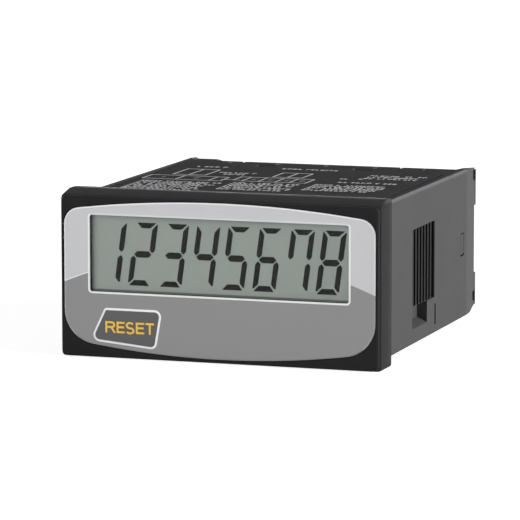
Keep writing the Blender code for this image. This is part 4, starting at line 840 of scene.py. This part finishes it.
def makeBezel(s):
    bm = merged("front_bezel")
    half, high = s["cadHalf"]
    easeSide, easeTop, easeDepth = s["cadEase"]
    shells = []
    for k in range(-1, 5):  # the CAD outline behind the ease, then through it
        angle = math.pi / 2 * max(k, 0) / 4
        inset = 1 - math.cos(angle)
        depth = s["depth"] if k < 0 else easeDepth * (1 - math.sin(angle))
        loop = cornerLoop(half - easeSide * inset, -high + easeSide * inset, high - easeTop * inset, s["cadCorner"])
        shells.append([spot(x, depth, z) for x, z in loop])
    found = [[min(bm.verts, key=lambda v: (v.co - p).length_squared) for p in shell] for shell in shells]
    gap = max((v.co - p).length for shell, loop in zip(shells, found) for v, p in zip(loop, shell))
    if gap > 0.02 * mm:
        raise ValueError(f"bezel outline not found, {gap / mm:.3f} mm off")
    shellVerts = {v for loop in found for v in loop}
    walls = [f for f in bm.faces if abs(f.normal.y) < 0.9995 and all(v in shellVerts for v in f.verts)]
    walls += [f for f in bm.faces if f not in walls and all(v in shellVerts for v in f.verts)
              and any(v not in found[0] and v not in found[-1] for v in f.verts)]
    bmesh.ops.delete(bm, geom=list(set(walls)), context="FACES_ONLY")
    loops = []
    for depth, side, top, bottom in s["levels"]:
        share = min(depth / 1.0, 1.0)
        radius = s["frontCorner"] + (s["rimCorner"] - s["frontCorner"]) * share
        loops.append([spot(x, depth, z) for x, z in cornerLoop(half - side, -high + bottom, high - top, radius)])
    for v, p in zip(found[-1], loops[0]):
        v.co = p
    for v, p in zip(found[0], loops[-1]):
        v.co = p
    rings = [found[-1]] + [[bm.verts.new(p) for p in loop] for loop in loops[1:-1]] + [found[0]]
    for ring, after in zip(rings, rings[1:]):
        for i in range(len(ring)):
            j = (i + 1) % len(ring)
            bm.faces.new((ring[i], ring[j], after[j], after[i]))
    for edge in [e for e in bm.edges if not e.link_faces]:
        bm.edges.remove(edge)
    bmesh.ops.delete(bm, geom=[v for v in bm.verts if not v.link_faces], context="VERTS")
    piece = pieceFrom("bezel", bm, made["bezelPlastic"], soft=34.0)
    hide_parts("front_bezel")


makeBezel(bezelSet)
print("bezel made")


# Case: the CAD case with tighter long edges, ribs in the ratchet and faces in the side snaps
caseSet = {
    "half": 22.5, "top": 11.1, "bottom": -11.4, "cadCorner": 0.6, "corner": 0.24,
    "film": 0.02,           # faces this near the top take the darker top colour, a painted shade
    "ribStart": 21.25, "ribPitch": 1.54, "ribSlot": 0.82, "ribs": 7, "ribSetBack": 0.25, "ribHeight": (-6.0, 5.45),
    "ribDepth": 0.5, "ribShift": 0.01,
    "snap": (47.38, 48.94, -1.52, 1.44), "snapSetBack": 0.03, "snapDepth": 0.8, "slotDepth": 0.5, "slotProud": 0.012,
    "earSlots": [(54.05, 55.30, 9.05, 10.50), (54.05, 55.30, -9.55, -8.15)],
}


def makeCase(s):
    bm = merged("body_case")
    old, new = s["cadCorner"], s["corner"]
    for v in bm.verts:
        x, z = v.co.x / mm, (v.co.z - middleZ) / mm
        for level, up in ((s["top"], 1), (s["bottom"], -1)):
            side = math.copysign(1, x)
            fromX, fromZ = abs(x) - (s["half"] - old), (z - (level - up * old)) * up
            if fromX > -0.01 and fromZ > -0.01 and abs(math.hypot(fromX, fromZ) - old) < 0.02:
                v.co.x = side * (s["half"] - new + fromX * new / old) * mm
                v.co.z = middleZ + (level - up * new + up * fromZ * new / old) * mm
    bm.normal_update()
    for face in bm.faces:  # painted shade: the top faces take a darker copy of the case plastic
        if face.normal.z > 0.99 and min(v.co.z for v in face.verts) > middleZ + (s["top"] - s["film"]) * mm:
            face.material_index = 1
    piece = pieceFrom("case", bm, [made["casePlastic"], made["caseTopShade"]], soft=34.0)
    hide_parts("body_case")


def makeCaseDetails(s):
    ribs = bmesh.new()
    rib = s["ribPitch"] - s["ribSlot"]
    for side in (1, -1):
        outer = side * (s["half"] - s["ribSetBack"])
        inner = outer - side * s["ribDepth"]
        for k in range(s["ribs"]):
            front = s["ribStart"] + s["ribSlot"] + k * s["ribPitch"] - s["ribShift"]
            addBox(ribs, min(inner, outer), max(inner, outer), front, front + rib, *s["ribHeight"])
    pieceFrom("ratchet_ribs", ribs, made["casePlastic"])
    snaps = bmesh.new()
    front, back, low, high = s["snap"]
    for side in (1, -1):
        outer = side * (s["half"] - s["snapSetBack"])
        inner = outer - side * s["snapDepth"]
        addBox(snaps, min(inner, outer), max(inner, outer), front, back, low, high)
    pieceFrom("side_snaps", snaps, made["casePlastic"])
    # painted shade: black boxes fill the ear slots where the openings would be dark
    slots = bmesh.new()
    for side in (1, -1):
        for front, back, low, high in s["earSlots"]:
            inner, outer = side * (s["half"] - s["slotDepth"]), side * (s["half"] + s["slotProud"])
            addBox(slots, min(inner, outer), max(inner, outer), front, back, low, high)
    pieceFrom("ear_slot_shade", slots, made["slotShade"])


makeCase(caseSet)
makeCaseDetails(caseSet)
print("case and its details made")


# Print on the case's top: terminal diagrams and rows of small marks
labelSet = {
    "level": 11.1, "film": 0.014, "sink": 0.004, "line": 0.20, "ink": (226, 226, 228), "seed": 7,
    "lines": [  # left, right, depth along the case
        (-20.4, -8.4, 24.6), (-20.4, -8.4, 29.2), (-5.2, 4.8, 25.6), (-6.8, 4.8, 30.4),
        (-8.4, -5.6, 26.4)],
    "uprights": [  # across, front, back
        (-20.4, 24.6, 29.2), (-15.2, 24.6, 29.2), (-10.0, 24.6, 29.2), (-5.1, 25.6, 30.4), (-2.6, 25.6, 30.4),
        (0.0, 25.6, 30.4), (2.2, 25.6, 30.4), (4.7, 25.6, 30.4), (-8.2, 24.6, 29.2), (-6.7, 26.4, 30.4)],
    "boxes": [(-17.8, -12.5, 30.6, 37.8), (-2.4, 2.4, 31.6, 37.2)],
    "rows": [  # left, right, depth, height of the marks
        (-17.4, -12.6, 40.6, 0.9), (-4.6, 4.8, 41.6, 0.9), (7.6, 9.2, 32.0, 0.8), (10.3, 11.4, 32.6, 0.8),
        (9.0, 17.8, 28.0, 0.9), (11.2, 17.0, 33.6, 0.9), (11.2, 17.0, 35.4, 0.9),
        (11.2, 16.0, 37.2, 0.9), (-11.6, -6.0, 34.2, 0.9), (-10.4, -6.8, 32.4, 0.8), (14.2, 19.6, 35.4, 0.9),
        (17.4, 19.8, 33.6, 0.9), (16.6, 19.8, 37.2, 0.9)],
    "spaceChance": 0.14, "space": 0.55, "widths": (0.5, 0.6, 0.65), "gap": 0.28,  # shares of a mark's height
    "stroke": 0.20, "strokeSpots": (0.0, 0.42, 0.83), "strokeChance": 0.62, "ragged": 2.2, "filled": 0.62,
    "dense": [(-19.4, -6.4, 9.8, 22.4, 1.3), (-5.6, 5.4, 15.2, 23.4, 1.3), (6.6, 19.4, 17.8, 25.6, 1.3)],
}


def addWord(bm, word, size, place, across, upward):
    # plain characters laid on a face, as closed film
    data = bpy.data.curves.new("word", "FONT")
    data.body, data.size, data.align_x = word, size * mm, "CENTER"
    data.extrude, data.resolution_u = 0.007 * mm, 3
    holder = bpy.data.objects.new("word", data)
    mesh = bpy.data.meshes.new_from_object(holder)
    across, upward = Vector(across), Vector(upward)
    turn = Matrix((across, upward, across.cross(upward))).transposed().to_4x4()
    mesh.transform(Matrix.Translation(place) @ turn)
    bm.from_mesh(mesh)
    bpy.data.objects.remove(holder)
    bpy.data.curves.remove(data)
    bpy.data.meshes.remove(mesh)
    bmesh.ops.remove_doubles(bm, verts=bm.verts, dist=0.0004 * mm)


numberSet = {
    "across": (-14.33, -6.59, 1.15, 8.89, 16.63), "size": 1.9, "depth": 48.1, "rowStep": 1.35,
    "top": 11.1, "bottom": -11.4, "lift": 0.004,
    "cells": [(-17.8, 26.0, "1"), (-12.6, 26.0, "2"), (-3.85, 27.1, "3"), (-1.3, 27.1, "4"), (1.1, 27.1, "5"),
              (3.45, 27.1, "6")], "cellSize": 2.3, "cellDrop": 1.7, "ink": (120, 120, 122),
}


def makeNumbers(s):
    bm = bmesh.new()
    top, bottom = s["top"] + s["lift"], s["bottom"] - s["lift"]
    for k, x in enumerate(reversed(s["across"])):  # counted from the left as seen from the rear
        addWord(bm, str(k + 1), s["size"], spot(x, s["depth"], top), (-1, 0, 0), (0, -1, 0))
        addWord(bm, str(k + 6), s["size"], spot(x, s["depth"] - s["rowStep"], bottom), (-1, 0, 0), (0, 1, 0))
    for x, depth, word in s["cells"]:
        addWord(bm, word, s["cellSize"], spot(x, depth + s["cellDrop"], top), (-1, 0, 0), (0, -1, 0))
    made["numberInk"] = printMaterial("numberInk", s["ink"], 0.6)
    pieceFrom("terminal_numbers", bm, made["numberInk"])


def makeLabel(s):
    bm = bmesh.new()
    chance = random.Random(s["seed"])
    low, high = s["level"] - s["sink"], s["level"] + s["film"]

    def patch(left, right, front, back):
        addBox(bm, left, right, front, back, low, high)

    def marks(left, right, depth, tall):
        x = left
        while x < right - 0.3:
            if chance.random() < s["spaceChance"]:
                x += tall * s["space"]
                continue
            wide = tall * chance.choice(s["widths"])
            thick = tall * s["stroke"]
            patch(x, x + thick, depth, depth + tall)
            for part in s["strokeSpots"]:
                if chance.random() < s["strokeChance"]:
                    patch(x + thick * 1.02, x + wide, depth + part * tall, depth + part * tall + thick)
            x += wide + tall * s["gap"]

    half = s["line"] / 2
    for left, right, depth in s["lines"]:
        patch(left, right, depth - half, depth + half)
    for x, front, back in s["uprights"]:
        patch(x - half, x + half, front + half * 1.1, back - half * 1.1)
    for left, right, front, back in s["boxes"]:
        patch(left, right, front, front + 2 * half)
        patch(left, right, back - 2 * half, back)
        for x in (left + half, right - half, (left + right) / 2):
            patch(x - half, x + half, front + 2.1 * half, back - 2.1 * half)
    for row in s["rows"]:
        marks(*row)
    for left, right, front, back, pitch in s["dense"]:
        depth = front
        while depth < back:
            marks(left, right - chance.random() * s["ragged"], depth, pitch * s["filled"])
            depth += pitch
    made["labelInk"] = printMaterial("labelInk", s["ink"], 0.6)
    pieceFrom("top_label", bm, made["labelInk"])


makeLabel(labelSet)
makeNumbers(numberSet)
print("top label printed")


# Room: floor, lamps and a white surround
roomSet = {
    "floor": (236, 236, 236),
    "floorSize": 3.0,
    "floorDrop": 0.02,      # millimetres under the bezel's lower edge
    "floorGlow": 0.78,      # to camera, glossy and transmission rays only
    "worldFill": 0.10,
    "lamps": {  # name: (place in mm, size in m, power in watts)
        "keyRight": ((950, 80, 95), (0.6, 0.5), 19.5),
        "frontSoft": ((-330, -1010, 150), (0.7, 0.6), 8.2),
        "top": ((0, 100, 1100), (0.9, 0.9), 0.25),
        "rearSoft": ((-650, 950, 0), (1.1, 0.018), 8.0),  # low, so the top stays dark
    },
}


def seenDirectly(tree):
    # 1 for rays that see the surround itself, through glass or in a gloss too
    rays = addNode(tree, "LightPath")
    seen = math2(tree, "MAXIMUM", rays.outputs["Is Camera Ray"], rays.outputs["Is Glossy Ray"])
    return math2(tree, "MAXIMUM", seen, rays.outputs["Is Transmission Ray"])


def makeRoom(s):
    scene = bpy.context.scene
    scene.view_settings.view_transform = "Standard"
    world = bpy.data.worlds.new("surround")
    scene.world = world
    world.use_nodes = True
    tree = world.node_tree
    background = tree.nodes["Background"]
    seen = seenDirectly(tree)
    strength = addNode(tree, "MapRange", {"Value": seen, "To Min": s["worldFill"], "To Max": 1.0})
    tree.links.new(strength.outputs["Result"], background.inputs["Strength"])
    background.inputs["Color"].default_value = (1, 1, 1, 1)

    floorMaterial, tree, shader = plainMaterial("paleFloor", colour(*s["floor"]), 0.9, Specular_IOR_Level=0.1)
    seen = seenDirectly(tree)
    shader.inputs["Emission Color"].default_value = (1, 1, 1, 1)
    glow = math2(tree, "MULTIPLY", seen, s["floorGlow"])
    tree.links.new(glow, shader.inputs["Emission Strength"])
    floor = bpy.data.objects.new("floor", bpy.data.meshes.new("floor"))
    half = s["floorSize"] / 2
    level = -s["floorDrop"] * mm
    corners = [(-half, -half, level), (half, -half, level), (half, half, level), (-half, half, level)]
    floor.data.from_pydata(corners, [], [(0, 1, 2, 3)])
    floor.data.materials.append(floorMaterial)
    scene.collection.objects.link(floor)

    for name, (place, size, power) in s["lamps"].items():
        data = bpy.data.lights.new(name, "AREA")
        data.shape = "RECTANGLE"
        data.size, data.size_y = size
        data.energy = power
        lamp = bpy.data.objects.new(name, data)
        scene.collection.objects.link(lamp)
        lamp.location = spot(*place)
        toward = spot(0, 20, 0) - lamp.location
        lamp.rotation_euler = toward.to_track_quat("-Z", "Y").to_euler()


makeRoom(roomSet)
print("room made")
